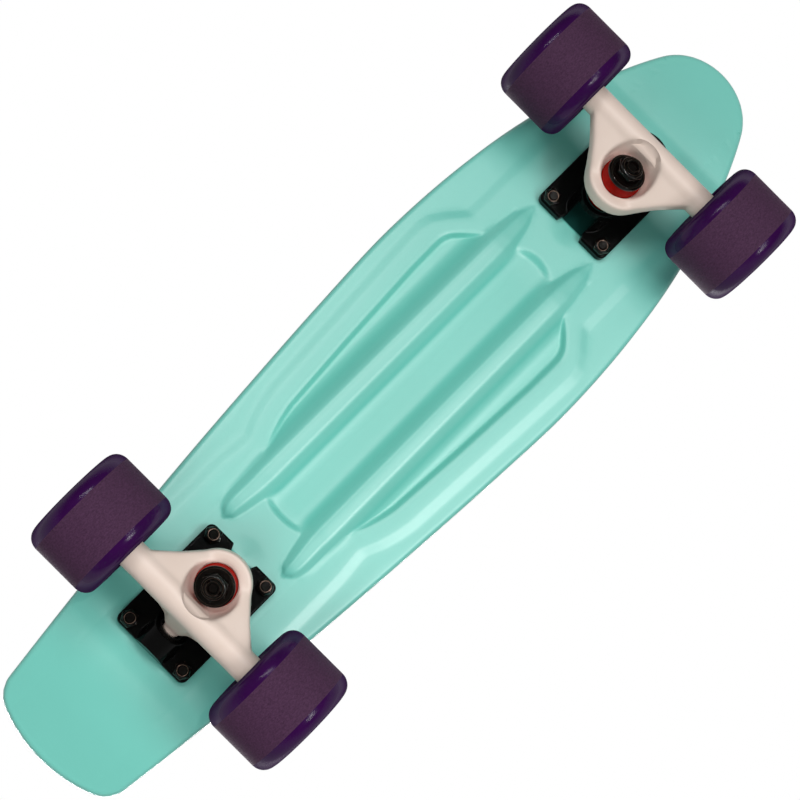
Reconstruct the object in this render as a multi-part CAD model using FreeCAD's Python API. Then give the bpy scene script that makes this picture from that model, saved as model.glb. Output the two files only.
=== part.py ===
"""Plastic mini-cruiser skateboard, built piece by piece.

Millimetres. +X runs to the nose, +Y to the rider's left, +Z up, wheels down.
The origin is on the ground, midway between the tips of the nose and the tail.

Each truck is made once in its own frame: origin at the centre of its bolt pattern
on the mounting face, +X outward to the near end of the board, +Z up. Its kingpin
runs along the kingpin line, where "along" is measured from the middle of the
hanger's ring towards the road, and its pivot lies on the steering line.
"""
import FreeCAD
import Part
import math
import os

# ---------------------------------------------------------------- driving sizes
# Deck: outline
DECK_LENGTH = 579.0
DECK_WIDTH = 150.4
NOSE_RADIUS = 38.5
NOSE_HALF_SWEEP = 64.0
TAIL_END_RADIUS = 95.0
TAIL_CORNER_RADIUS = 17.0
TAIL_CORNER_OFFSET = 28.4
TAIL_SIDE_ANGLE = 7.2
# Side curve, nose to tail: share of the half length, share of the half width
SIDE_SHARES = [
    (0.713, 0.765), (0.575, 0.888), (0.437, 0.960), (0.230, 1.000),
    (0.022, 0.963), (-0.185, 0.906), (-0.461, 0.814), (-0.738, 0.695)]

# Deck: side view
RIM_THICKNESS = 9.0
PLATFORM_HEIGHT = 3.0
TAIL_BEND_SETBACK = 70.5
TAIL_BEND_RADIUS = 130.0
TAIL_KICK_ANGLE = 18.0
NOSE_BEND_SETBACK = 57.5
NOSE_BEND_RADIUS = 300.0
RIM_UNDER_ROUND = 3.0
RIM_TOP_ROUND = 2.0

# Deck: proud platform under the rider, and what is moulded into it
PLATFORM_END_GAP = 9.5
PLATFORM_END_SLOPE = 5.0
PLATFORM_STRIP_HALF = 44.5
PLATFORM_WAIST_HALF = 52.7
PLATFORM_BELLY_HALF = 60.6
PLATFORM_SIDE_SLOPE = 5.6
PLATFORM_CORNER = 15.0
# Places along the platform, measured from the ends of its pockets
PLATFORM_WAIST_GAP = 1.0
PLATFORM_WAIST_RUN = 31.0
PLATFORM_BELLY_GAP = 24.0
PLATFORM_TURN_GAP = 13.5
PLATFORM_TURN_DROP = 3.6
PLATFORM_STRIP_GAP = 4.5
RIB_INNER = 14.2
RIB_OUTER = 32.6
RIB_SIDE_SLOPE = 4.5
RIB_HEIGHT = 4.0
RIB_TAIL_GAP = 9.0
RIB_NOSE_GAP = 6.0
RIB_TAPER_LENGTH = 29.0
RIB_CREST_INSET = 13.0
RIB_TIP_SHIFT = 0.8
# Boat-shaped rib ends: share of the taper from the tip, share of the full width
RIB_TAIL_SHARES = [(0.0, 0.20), (0.33, 0.66), (1.0, 1.0)]
RIB_NOSE_SHARES = [(0.0, 0.10), (0.42, 0.55), (1.0, 1.0)]
POCKET_DEPTH = 3.5
POCKET_WALL_SLOPE = 2.0
POCKET_TAIL_INSET = 39.5
POCKET_NOSE_INSET = 33.0
POCKET_TAIL_HALF = 42.0
POCKET_NOSE_HALF = 50.5
POCKET_TAIL_RUN = 27.5
POCKET_NOSE_RUN = 31.0
POCKET_TIP_WIDTH = 1.3
# Corners of a pocket's nose end: back from its end, in from its full half width
POCKET_NOSE_TURN = [(20.0, 0.3), (10.5, 6.5)]
PANEL_DEPTH = 2.5
PANEL_TAIL_INSET = 24.5
PANEL_NOSE_INSET = 20.5
PANEL_END_SLOPE = 4.0

# Trucks: where they sit, measured from the ends of the deck
REAR_TRUCK_SETBACK = 120.5
FRONT_TRUCK_SETBACK = 107.5
BOLT_SPACING_X = 66.0
BOLT_SPACING_Y = 41.3

# Wheels
WHEEL_DIAMETER = 69.0
WHEEL_WIDTH = 46.0
TREAD_WIDTH = 29.5
LIP_FACE_RADIUS = 27.0
HUB_MOUTH_RADIUS = 16.5
HUB_FLOOR_RADIUS = 13.2
BEARING_SHOULDER_RADIUS = 8.8

# Axle and hanger
AXLE_DIAMETER = 7.94
AXLE_DROP = 53.2
AXLE_OUTWARD = 11.8
HANGER_WIDTH = 109.2
ARM_DIAMETER = 17.4
ARM_START_HALF = 39.0
SHOULDER_HALF = 27.0
SHOULDER_BLEND = 0.52
MIDDLE_HALF = 16.5
MIDDLE_BOARD_RISE = 1.0
MIDDLE_CREST_INWARD = 12.0
MIDDLE_BACK_SLOPE = 7.0
MIDDLE_BACK_RISE = 5.5
MIDDLE_BACK_DROP = 2.5
MIDDLE_KEEL_OUTWARD = 2.0
MIDDLE_KEEL_INWARD = 10.0
MIDDLE_KEEL_SLOPE = 7.0
GUSSET_HALF = 20.5
GUSSET_NECK_HALF = 4.6
GUSSET_BACK_HALF = 9.0
NUT_COLLAR_INSET = 0.5
AXLE_NUT_FLATS = 12.7
AXLE_NUT_HEIGHT = 8.0
AXLE_NUT_COLLAR = 2.2
AXLE_END_PAST_NUT = 1.0
SPEED_WASHER_THICKNESS = 0.8
SPEED_WASHER_DIAMETER = 12.2

# Bearings, 608 size
BEARING_BORE = 8.0
BEARING_OUTSIDE = 22.0
BEARING_WIDTH = 7.0
BEARING_SPACER_LENGTH = 10.0
BEARING_SPACER_DIAMETER = 10.6
BALL_DIAMETER = 3.96
BALL_CIRCLE_DIAMETER = 15.0
BALL_COUNT = 7
BALL_RUNNING_GAP = 0.05
INNER_RING_DIAMETER = 12.2
OUTER_RING_INSIDE = 17.8
CAGE_WIDTH = 5.2
CAGE_RADIAL_GAP = 0.4
CAGE_POCKET_GAP = 0.1
SHIELD_THICKNESS = 0.4
SHIELD_INSET = 0.1
SHIELD_LIP_GAP = 0.3

# Kingpin line and steering line
KINGPIN_LEAN = 17.0
RING_CENTRE_INWARD = 10.85
RING_CENTRE_DROP = 41.7
PIVOT_OUTWARD = 24.0
PIVOT_DROP = 13.0
RING_DIAMETER = 39.0
RING_THICKNESS = 10.0
RING_RECESS_DIAMETER = 24.8
RING_RECESS_DEPTH = 1.5
RING_BORE_DIAMETER = 14.5
SPOT_FACE_RADIUS = 18.0
SPOT_FACE_INWARD = 4.7
SPOT_FLARE_START = 19.5
SPOT_FLARE_LENGTH = 12.0
SPOT_FLARE_GROWTH = 5.2
PIVOT_BALL_RADIUS = 5.0
PIVOT_NECK_RADIUS = 8.0
PIVOT_NECK_LENGTH = 26.0
PIVOT_RUNNING_GAP = 0.06

# Kingpin stack
KINGPIN_DIAMETER = 9.52
KINGPIN_HOLE_GAP = 0.05
KINGPIN_HEAD_FLATS = 14.2
KINGPIN_HEAD_HEIGHT = 5.5
KINGPIN_END_PAST_NUT = 0.9
KINGPIN_NUT_FLATS = 14.3
KINGPIN_NUT_HEIGHT = 5.4
KINGPIN_NUT_COLLAR = 1.3
CUP_WASHER_DIAMETER = 23.0
CUP_WASHER_THICKNESS = 1.4
CUP_RIM_HEIGHT = 1.2
CUP_RIM_THICKNESS = 0.65
CUP_EDGE_CHAMFER = 0.6
BUSHING_BORE_GAP = 0.3
BUSHING_END_RADIUS = 10.6
BUSHING_BELLY_RADIUS = 12.1
BUSHING_EDGE_ROUND = 1.5
BUSHING_EDGE_INSET = 0.2
BUSHING_CONE_START = 0.45
BUSHING_END_RUN = 2.0
LOWER_BUSHING_LENGTH = 13.9
UPPER_BUSHING_LENGTH = 9.5

# Baseplate
PLATE_END_MARGIN = 5.5
PLATE_SIDE_MARGIN = 6.05
PLATE_THICKNESS = 7.0
PLATE_CORNER_RADIUS = 4.0
PLATE_EDGE_ROUND = 1.2
BOSS_RADIUS = 13.0
BOSS_SEAT_WALL = 5.0
HEAD_SLOT_WIDTH = 14.6
HEAD_SLOT_END_GAP = 0.4
SLOT_MOUTH_FLARE = 2.2
SLOT_MOUTH_DEPTH = 4.0
PIVOT_HOUSING_RADIUS = 11.0
PIVOT_CUP_RADIUS = 7.6
PIVOT_CUP_BACK = 7.5
PIVOT_CUP_FRONT = 3.5
PIVOT_CUP_MOUTH = 6.6
PLATE_WEB_WIDTH = 15.0
PLATE_WEB_DEPTH = 5.0
PLATE_WEB_FALL = 2.0
PLATE_WEB_REACH = 3.0
PLATE_WEB_SEAT_GAP = 4.0

# Deck bolts and nuts, 10-32 size
DECK_BOLT_DIAMETER = 4.8
DECK_BOLT_HOLE_GAP = 0.25
DECK_BOLT_HEAD_DIAMETER = 9.6
DECK_BOLT_HEAD_HEIGHT = 2.6
DECK_BOLT_PAST_NUT = 1.0
DECK_BOLT_DRIVE_FLATS = 3.2
DECK_BOLT_DRIVE_DEPTH = 1.6
DECK_NUT_FLATS = 9.5
DECK_NUT_HEIGHT = 4.8

# ---------------------------------------------------------------- worked out
HALF_LENGTH = DECK_LENGTH / 2
HALF_WIDTH = DECK_WIDTH / 2
PLATE_LENGTH = BOLT_SPACING_X + 2 * PLATE_END_MARGIN
PLATE_WIDTH = BOLT_SPACING_Y + 2 * PLATE_SIDE_MARGIN
TAIL_BEND_START = -HALF_LENGTH + TAIL_BEND_SETBACK
NOSE_BEND_START = HALF_LENGTH - NOSE_BEND_SETBACK
REAR_TRUCK_X = -HALF_LENGTH + REAR_TRUCK_SETBACK
FRONT_TRUCK_X = HALF_LENGTH - FRONT_TRUCK_SETBACK
RIB_TAIL_TIP = REAR_TRUCK_X + PLATE_LENGTH / 2 + RIB_TAIL_GAP
RIB_NOSE_TIP = FRONT_TRUCK_X - PLATE_LENGTH / 2 - RIB_NOSE_GAP
POCKET_TAIL_END = RIB_TAIL_TIP + POCKET_TAIL_INSET
POCKET_NOSE_END = RIB_NOSE_TIP - POCKET_NOSE_INSET
PANEL_TAIL_END = RIB_TAIL_TIP + PANEL_TAIL_INSET
PANEL_NOSE_END = RIB_NOSE_TIP - PANEL_NOSE_INSET
AXLE_HEIGHT = WHEEL_DIAMETER / 2
MOUNT_Z = AXLE_HEIGHT + AXLE_DROP
RIM_Z = MOUNT_Z + PLATFORM_HEIGHT
TOP_Z = RIM_Z + RIM_THICKNESS
AXLE_RADIUS = AXLE_DIAMETER / 2
ARM_RADIUS = ARM_DIAMETER / 2
HANGER_HALF = HANGER_WIDTH / 2
INNER_BEARING_START = HANGER_HALF + SPEED_WASHER_THICKNESS
WHEEL_CENTRE_Y = INNER_BEARING_START + BEARING_WIDTH + BEARING_SPACER_LENGTH / 2
OUTER_BEARING_END = WHEEL_CENTRE_Y + BEARING_SPACER_LENGTH / 2 + BEARING_WIDTH
AXLE_NUT_START = OUTER_BEARING_END + SPEED_WASHER_THICKNESS
AXLE_END_Y = AXLE_NUT_START + AXLE_NUT_HEIGHT + AXLE_END_PAST_NUT
BEARING_OFFSET = (BEARING_SPACER_LENGTH + BEARING_WIDTH) / 2

LEAN = math.radians(KINGPIN_LEAN)
KINGPIN_DIR = FreeCAD.Vector(math.sin(LEAN), 0, -math.cos(LEAN))
ACROSS_DIR = FreeCAD.Vector(math.cos(LEAN), 0, math.sin(LEAN))
SIDE_DIR = FreeCAD.Vector(0, 1, 0)
RING_CENTRE = FreeCAD.Vector(-RING_CENTRE_INWARD, 0, -RING_CENTRE_DROP)
PIVOT = FreeCAD.Vector(PIVOT_OUTWARD, 0, -PIVOT_DROP)
STEER_DIR = RING_CENTRE.sub(PIVOT).normalize()
AXLE_POINT = FreeCAD.Vector(AXLE_OUTWARD, 0, -AXLE_DROP)

# Stations along the kingpin, from the middle of the ring, positive to the road
RING_FACE = RING_THICKNESS / 2
RECESS_FLOOR = RING_FACE - RING_RECESS_DEPTH
LOWER_BUSHING_BACK = -RECESS_FLOOR - LOWER_BUSHING_LENGTH
BOSS_SEAT = LOWER_BUSHING_BACK - CUP_WASHER_THICKNESS
HEAD_SEAT = BOSS_SEAT - BOSS_SEAT_WALL
TOP_WASHER_FACE = RECESS_FLOOR + UPPER_BUSHING_LENGTH
KINGPIN_NUT_FACE = TOP_WASHER_FACE + CUP_WASHER_THICKNESS
KINGPIN_NUT_END = KINGPIN_NUT_FACE + KINGPIN_NUT_HEIGHT + KINGPIN_NUT_COLLAR
KINGPIN_END = KINGPIN_NUT_END + KINGPIN_END_PAST_NUT

CUTTER_RUN = PLATE_LENGTH + HANGER_WIDTH  # longer than any truck piece


# ---------------------------------------------------------------- helpers
def vec(x, y, z):
    return FreeCAD.Vector(x, y, z)


def closed_wire(points):
    return Part.makePolygon(list(points) + [points[0]])


def prism(points, direction):
    """A closed outline of points, carried along a direction."""
    return Part.Face(closed_wire(points)).extrude(direction)


def rod(radius, start, end):
    """A round bar from one point to another."""
    run = end.sub(start)
    return Part.makeCylinder(radius, run.Length, start, run)


def tube(inner, outer, start, end):
    return rod(outer, start, end).cut(rod(inner, start, end))


def on_kingpin(along, across=0.0, side=0.0):
    """A point near the kingpin: along it to the road, across it outward, to the side."""
    point = RING_CENTRE + KINGPIN_DIR * along
    return point + ACROSS_DIR * across + SIDE_DIR * side


def turned(profile, base, axis):
    """Turn a profile of (radius, distance along the axis) about that axis."""
    side = SIDE_DIR if abs(axis.y) < 0.5 else vec(0, 0, 1)
    wire = closed_wire([base + side * r + axis * a for r, a in profile])
    return Part.Face(wire).revolve(base, axis, 360)


def hexagon(flats, start, end, side=SIDE_DIR):
    """A hexagonal bar whose flats face along the side direction."""
    axis = end.sub(start)
    unit = vec(axis.x, axis.y, axis.z).normalize()
    other = unit.cross(side)
    corner = flats / math.sqrt(3)
    points = []
    for step in range(6):
        turn = math.radians(60 * step)
        points.append(start + other * (corner * math.cos(turn)) + side * (corner * math.sin(turn)))
    return prism(points, axis)


def fuse_all(shapes):
    return shapes[0].multiFuse(shapes[1:]).removeSplitter()


def mirrored_ring(half):
    """Points (x, y) on the +Y side, closed round by their mirror images."""
    return list(half) + [(x, -y) for x, y in reversed(half)]


def flat_ring(points, z):
    return closed_wire([vec(x, y, z) for x, y in points])


def tapered(low_points, low_z, high_points, high_z):
    """A solid between two outlines with the same number of corners."""
    return Part.makeLoft([flat_ring(low_points, low_z), flat_ring(high_points, high_z)], True, True)


def export(name, shape):
    solid = shape.Solids[0] if len(shape.Solids) == 1 else Part.Compound(shape.Solids)
    solid.exportStep("parts/" + name + ".step")
    print(name, len(shape.Solids), "solid(s), valid", shape.isValid(), round(shape.Volume / 1000, 2), "cm3")


# ---------------------------------------------------------------- deck
def deck_outline(z):
    """Round nose, full sides, squarer tail: arcs joined by one smooth curve a side."""
    nose_x = HALF_LENGTH - NOSE_RADIUS
    sweep = math.radians(NOSE_HALF_SWEEP)
    nose_end = vec(nose_x + NOSE_RADIUS * math.cos(sweep), NOSE_RADIUS * math.sin(sweep), z)
    nose_heading = vec(-math.sin(sweep), math.cos(sweep), 0)
    end_centre = -HALF_LENGTH + TAIL_END_RADIUS
    reach = TAIL_END_RADIUS - TAIL_CORNER_RADIUS
    corner_x = end_centre - math.sqrt(reach ** 2 - TAIL_CORNER_OFFSET ** 2)
    corner = vec(corner_x, TAIL_CORNER_OFFSET, z)
    slope = math.radians(TAIL_SIDE_ANGLE)
    side_end = corner + vec(-math.sin(slope), math.cos(slope), 0) * TAIL_CORNER_RADIUS
    outward = vec(corner_x - end_centre, TAIL_CORNER_OFFSET, 0).normalize()
    end_corner = corner + outward * TAIL_CORNER_RADIUS
    between = (outward + vec(-math.sin(slope), math.cos(slope), 0)).normalize()
    corner_mid = corner + between * TAIL_CORNER_RADIUS

    points = [nose_end]
    for share_x, share_y in SIDE_SHARES:
        points.append(vec(share_x * HALF_LENGTH, share_y * HALF_WIDTH, z))
    points.append(side_end)
    side = Part.BSplineCurve()
    side.interpolate(Points=points, InitialTangent=nose_heading,
                     FinalTangent=vec(-math.cos(slope), -math.sin(slope), 0))
    left_side = side.toShape()
    left_corner = Part.Arc(side_end, corner_mid, end_corner).toShape()
    across = vec(0, 0, 0)
    right_side = left_side.mirror(across, SIDE_DIR)
    right_corner = left_corner.mirror(across, SIDE_DIR)
    end_mirror = vec(end_corner.x, -end_corner.y, z)
    end = Part.Arc(end_corner, vec(-HALF_LENGTH, 0, z), end_mirror).toShape()
    nose_mirror = vec(nose_end.x, -nose_end.y, z)
    nose = Part.Arc(nose_mirror, vec(HALF_LENGTH, 0, z), nose_end).toShape()
    edges = Part.__sortEdges__([nose, left_side, left_corner, end, right_corner, right_side])
    return Part.Wire(edges)


def bend_arc(start_x, radius, sweep, outward, base_z):
    """The arc of a face that curves up from the flat at start_x; gives arc and end point."""
    points = []
    for turn in (0.0, sweep / 2, sweep):
        x = start_x + outward * radius * math.sin(turn)
        points.append(vec(x, 0, base_z + radius * (1 - math.cos(turn))))
    return Part.Arc(*points).toShape(), points[0], points[2]


def deck_side_section():
    """Side view of the plain board: kicked tail, flat middle, gently lifted nose."""
    kick = math.radians(TAIL_KICK_ANGLE)
    overrun = NOSE_RADIUS
    lift = math.asin((HALF_LENGTH + overrun / 2 - NOSE_BEND_START) / NOSE_BEND_RADIUS)
    edges = []
    ends = []
    for base_z, drop in ((RIM_Z, 0.0), (TOP_Z, RIM_THICKNESS)):
        tail, tail_flat, tail_end = bend_arc(TAIL_BEND_START, TAIL_BEND_RADIUS - drop, kick, -1, base_z)
        nose, nose_flat, nose_end = bend_arc(NOSE_BEND_START, NOSE_BEND_RADIUS - drop, lift, 1, base_z)
        straight = tail_end + vec(-math.cos(kick), 0, math.sin(kick)) * (HALF_LENGTH + tail_end.x + overrun)
        edges += [tail, nose, Part.makeLine(tail_flat, nose_flat), Part.makeLine(tail_end, straight)]
        ends.append((straight, nose_end))
    edges.append(Part.makeLine(ends[0][0], ends[1][0]))
    edges.append(Part.makeLine(ends[0][1], ends[1][1]))
    return Part.Face(Part.Wire(Part.__sortEdges__(edges)))


def middle_normal(face):
    low_u, high_u, low_v, high_v = face.ParameterRange
    return face.normalAt((low_u + high_u) / 2, (low_v + high_v) / 2)


def rim_edges(plate, way):
    """Edges where the upright rim meets the top (way 1) or the underside (way -1)."""
    found = []
    for edge in plate.Edges:
        tilts = [middle_normal(face).z for face in plate.ancestorsOfType(edge, Part.Face)]
        uprights = [tilt for tilt in tilts if abs(tilt) < 0.02]
        if len(tilts) == 2 and len(uprights) == 1 and max(tilts, key=abs) * way > 0:
            found.append(edge)
    return found


def deck_blank():
    """The plain curved plate, cut to its outline, with its rim rounded."""
    slab = deck_side_section()
    slab.translate(vec(0, -HALF_WIDTH - RIM_THICKNESS, 0))
    slab = slab.extrude(vec(0, DECK_WIDTH + 2 * RIM_THICKNESS, 0))
    height = MOUNT_Z + HALF_LENGTH
    outline = Part.Face(deck_outline(0)).extrude(vec(0, 0, height))
    blank = slab.common(outline).Solids[0]
    blank = blank.makeFillet(RIM_UNDER_ROUND, rim_edges(blank, -1))
    return blank.makeFillet(RIM_TOP_ROUND, rim_edges(blank, 1))


def platform():
    """Raised middle of the underside: narrow strips to the trucks, wider under the feet."""
    rear_end = REAR_TRUCK_X - PLATE_LENGTH / 2 - PLATFORM_END_GAP
    front_end = FRONT_TRUCK_X + PLATE_LENGTH / 2 + PLATFORM_END_GAP
    corner = PLATFORM_CORNER
    strip, waist, belly = PLATFORM_STRIP_HALF, PLATFORM_WAIST_HALF, PLATFORM_BELLY_HALF
    waist_start = POCKET_TAIL_END + PLATFORM_WAIST_GAP
    waist_full = waist_start + PLATFORM_WAIST_RUN
    belly_end = POCKET_NOSE_END - PLATFORM_BELLY_GAP
    belly_turn = POCKET_NOSE_END - PLATFORM_TURN_GAP
    strip_start = POCKET_NOSE_END + PLATFORM_STRIP_GAP

    def half(grow, inset):
        return [
            (rear_end + inset, strip - corner + grow), (rear_end + inset + corner, strip + grow),
            (waist_start, strip + grow), (waist_full, waist + grow), (belly_end, belly + grow),
            (belly_turn, belly - PLATFORM_TURN_DROP + 1.4 * grow), (strip_start, strip + grow),
            (front_end - inset - corner, strip + grow), (front_end - inset, strip - corner + grow)]

    low = mirrored_ring(half(0.0, PLATFORM_END_SLOPE))
    high = mirrored_ring(half(PLATFORM_SIDE_SLOPE, 0.0))
    return tapered(low, MOUNT_Z, high, RIM_Z)


def rib(side):
    """One long proud rib with boat-shaped ends, on the side +1 or -1."""
    middle = (RIB_INNER + RIB_OUTER) / 2 + RIB_TIP_SHIFT

    def outline(inset, slope):
        """Corners up the outer side from tail to nose, and back along the inner side."""
        run = RIB_TAPER_LENGTH - inset
        places = [(RIB_TAIL_TIP + inset + run * share, width) for share, width in RIB_TAIL_SHARES]
        places += [(RIB_NOSE_TIP - inset - run * share, width) for share, width in reversed(RIB_NOSE_SHARES)]
        outer = [(x, middle + width * (RIB_OUTER - slope - middle)) for x, width in places]
        inner = [(x, middle - width * (middle - RIB_INNER - slope)) for x, width in reversed(places)]
        return [(x, side * y) for x, y in outer + inner]

    crest = outline(RIB_CREST_INSET, RIB_SIDE_SLOPE)
    return tapered(crest, MOUNT_Z - RIB_HEIGHT, outline(0.0, 0.0), MOUNT_Z)


def pocket(side):
    """One long recess between a rib and the platform's edge."""
    tail, nose, slope = POCKET_TAIL_END, POCKET_NOSE_END, POCKET_WALL_SLOPE

    def half(inset):
        turns = [
            (nose - back - inset, POCKET_NOSE_HALF - inward - inset) for back, inward in POCKET_NOSE_TURN]
        return [
            (tail + 3 * inset, RIB_OUTER), (tail + 3 * inset, RIB_OUTER + POCKET_TIP_WIDTH),
            (tail + POCKET_TAIL_RUN, POCKET_TAIL_HALF - inset),
            (nose - POCKET_NOSE_RUN, POCKET_NOSE_HALF - inset), *turns,
            (nose - 2 * inset, RIB_OUTER + POCKET_TIP_WIDTH), (nose - 2 * inset, RIB_OUTER)]

    mouth = [(x, side * y) for x, y in half(0.0)]
    floor = [(x, side * y) for x, y in half(slope)]
    return tapered(mouth, MOUNT_Z, floor, MOUNT_Z + POCKET_DEPTH)


def centre_panel():
    """The shallow sunk panel between the ribs; its floor is bare."""
    tail, nose, slope = PANEL_TAIL_END, PANEL_NOSE_END, PANEL_END_SLOPE
    mouth = mirrored_ring([(tail, RIB_INNER), (nose, RIB_INNER)])
    floor = mirrored_ring([(tail + slope, RIB_INNER), (nose - slope, RIB_INNER)])
    return tapered(mouth, MOUNT_Z, floor, MOUNT_Z + PANEL_DEPTH)


def bolt_places(truck_x):
    places = []
    for step_x in (-0.5, 0.5):
        for step_y in (-0.5, 0.5):
            places.append((truck_x + step_x * BOLT_SPACING_X, step_y * BOLT_SPACING_Y))
    return places


def deck():
    body = fuse_all([deck_blank(), platform(), rib(1), rib(-1)])
    cutters = [pocket(1), pocket(-1), centre_panel()]
    hole = DECK_BOLT_DIAMETER / 2 + DECK_BOLT_HOLE_GAP
    head = DECK_BOLT_HEAD_DIAMETER / 2 + DECK_BOLT_HOLE_GAP
    for truck_x in (REAR_TRUCK_X, FRONT_TRUCK_X):
        for x, y in bolt_places(truck_x):
            cutters.append(rod(hole, vec(x, y, MOUNT_Z - 1), vec(x, y, TOP_Z + 1)))
            head_base = vec(x, y, TOP_Z - DECK_BOLT_HEAD_HEIGHT)
            cutters.append(Part.makeCone(hole, head, DECK_BOLT_HEAD_HEIGHT, head_base))
    return body.cut(cutters)


# ---------------------------------------------------------------- deck bolts
def deck_bolt(x, y):
    radius = DECK_BOLT_DIAMETER / 2
    end_z = MOUNT_Z - PLATE_THICKNESS - DECK_NUT_HEIGHT - DECK_BOLT_PAST_NUT
    base = vec(x, y, TOP_Z - DECK_BOLT_HEAD_HEIGHT)
    shank = rod(radius, vec(x, y, end_z), base)
    head = Part.makeCone(radius, DECK_BOLT_HEAD_DIAMETER / 2, DECK_BOLT_HEAD_HEIGHT, base)
    drive_base = vec(x, y, TOP_Z - DECK_BOLT_DRIVE_DEPTH)
    drive = hexagon(DECK_BOLT_DRIVE_FLATS, drive_base, vec(x, y, TOP_Z + 1))
    return fuse_all([shank, head]).cut(drive)


def deck_nut(x, y):
    top = MOUNT_Z - PLATE_THICKNESS
    body = hexagon(DECK_NUT_FLATS, vec(x, y, top - DECK_NUT_HEIGHT), vec(x, y, top))
    return body.cut(rod(DECK_BOLT_DIAMETER / 2, vec(x, y, top - DECK_NUT_HEIGHT), vec(x, y, top)))


# ---------------------------------------------------------------- baseplate
def baseplate():
    half_x, half_y = PLATE_LENGTH / 2, PLATE_WIDTH / 2
    low_corner = vec(-half_x, -half_y, -PLATE_THICKNESS)
    plate = Part.makeBox(PLATE_LENGTH, PLATE_WIDTH, PLATE_THICKNESS, low_corner)
    corners = [edge for edge in plate.Edges if abs(edge.tangentAt(0).z) > 0.9]
    plate = plate.makeFillet(PLATE_CORNER_RADIUS, corners)
    road_edges = [edge for edge in plate.Edges if edge.BoundBox.ZMax < -PLATE_THICKNESS + 0.01]
    plate = plate.makeFillet(PLATE_EDGE_ROUND, road_edges)

    boss = rod(BOSS_RADIUS, on_kingpin(BOSS_SEAT), on_kingpin(-CUTTER_RUN))
    cup_face = PIVOT + STEER_DIR * PIVOT_CUP_FRONT
    housing = rod(PIVOT_HOUSING_RADIUS, cup_face, PIVOT - STEER_DIR * CUTTER_RUN)
    web_z = -PLATE_THICKNESS - PLATE_WEB_DEPTH
    seat = on_kingpin(BOSS_SEAT)
    web_side = [
        vec(seat.x, 0, 0), vec(seat.x, 0, seat.z + PLATE_WEB_SEAT_GAP),
        vec(seat.x + BOSS_RADIUS + PLATE_WEB_REACH, 0, web_z),
        vec(PIVOT_OUTWARD - PIVOT_HOUSING_RADIUS, 0, web_z + PLATE_WEB_FALL), vec(PIVOT_OUTWARD, 0, 0)]
    web_side = [point - SIDE_DIR * (PLATE_WEB_WIDTH / 2) for point in web_side]
    web = prism(web_side, SIDE_DIR * PLATE_WEB_WIDTH)
    room = Part.makeBox(PLATE_LENGTH, PLATE_WIDTH, CUTTER_RUN, vec(-half_x, -half_y, -CUTTER_RUN))
    body = fuse_all([plate, boss.common(room), housing.common(room), web])

    slot_half = HEAD_SLOT_WIDTH / 2
    slot_end = KINGPIN_HEAD_FLATS / math.sqrt(3) + HEAD_SLOT_END_GAP
    slot_back = HEAD_SEAT - CUTTER_RUN
    slot_corners = [
        on_kingpin(HEAD_SEAT, slot_end, -slot_half), on_kingpin(HEAD_SEAT, -CUTTER_RUN, -slot_half),
        on_kingpin(slot_back, -CUTTER_RUN, -slot_half), on_kingpin(slot_back, slot_end, -slot_half)]
    slot = prism(slot_corners, SIDE_DIR * HEAD_SLOT_WIDTH)
    wide = slot_half + SLOT_MOUTH_FLARE
    mouth = prism([
        vec(-half_x - 1, -wide, 1), vec(-half_x - 1, wide, 1),
        vec(-half_x + SLOT_MOUTH_DEPTH, slot_half, 1), vec(-half_x + SLOT_MOUTH_DEPTH, -slot_half, 1)],
        vec(0, 0, -PLATE_THICKNESS - 2))
    kingpin_hole = rod(KINGPIN_DIAMETER / 2 + KINGPIN_HOLE_GAP, on_kingpin(HEAD_SEAT - 1), on_kingpin(0))
    cup_seat = rod(PIVOT_CUP_RADIUS, PIVOT - STEER_DIR * PIVOT_CUP_BACK, PIVOT + STEER_DIR * CUTTER_RUN)
    holes = [slot, mouth, kingpin_hole, cup_seat]
    for x, y in bolt_places(0):
        hole_radius = DECK_BOLT_DIAMETER / 2 + DECK_BOLT_HOLE_GAP
        holes.append(rod(hole_radius, vec(x, y, 1), vec(x, y, -PLATE_THICKNESS - 1)))
    return body.cut(holes).removeSplitter()


def pivot_cup():
    back = PIVOT - STEER_DIR * PIVOT_CUP_BACK
    front = PIVOT + STEER_DIR * PIVOT_CUP_FRONT
    bowl = PIVOT_BALL_RADIUS + PIVOT_RUNNING_GAP
    body = rod(PIVOT_CUP_RADIUS, back, front)
    ball = Part.makeSphere(bowl, PIVOT)
    mouth = Part.makeCone(bowl, PIVOT_CUP_MOUTH, PIVOT_CUP_FRONT, PIVOT, STEER_DIR)
    return body.cut([ball, mouth])


# ---------------------------------------------------------------- hanger
def hanger_section(side, corners):
    """A closed section across the hanger; corners are (across, along) the kingpin."""
    return closed_wire([on_kingpin(along, across, side) for across, along in corners])


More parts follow.
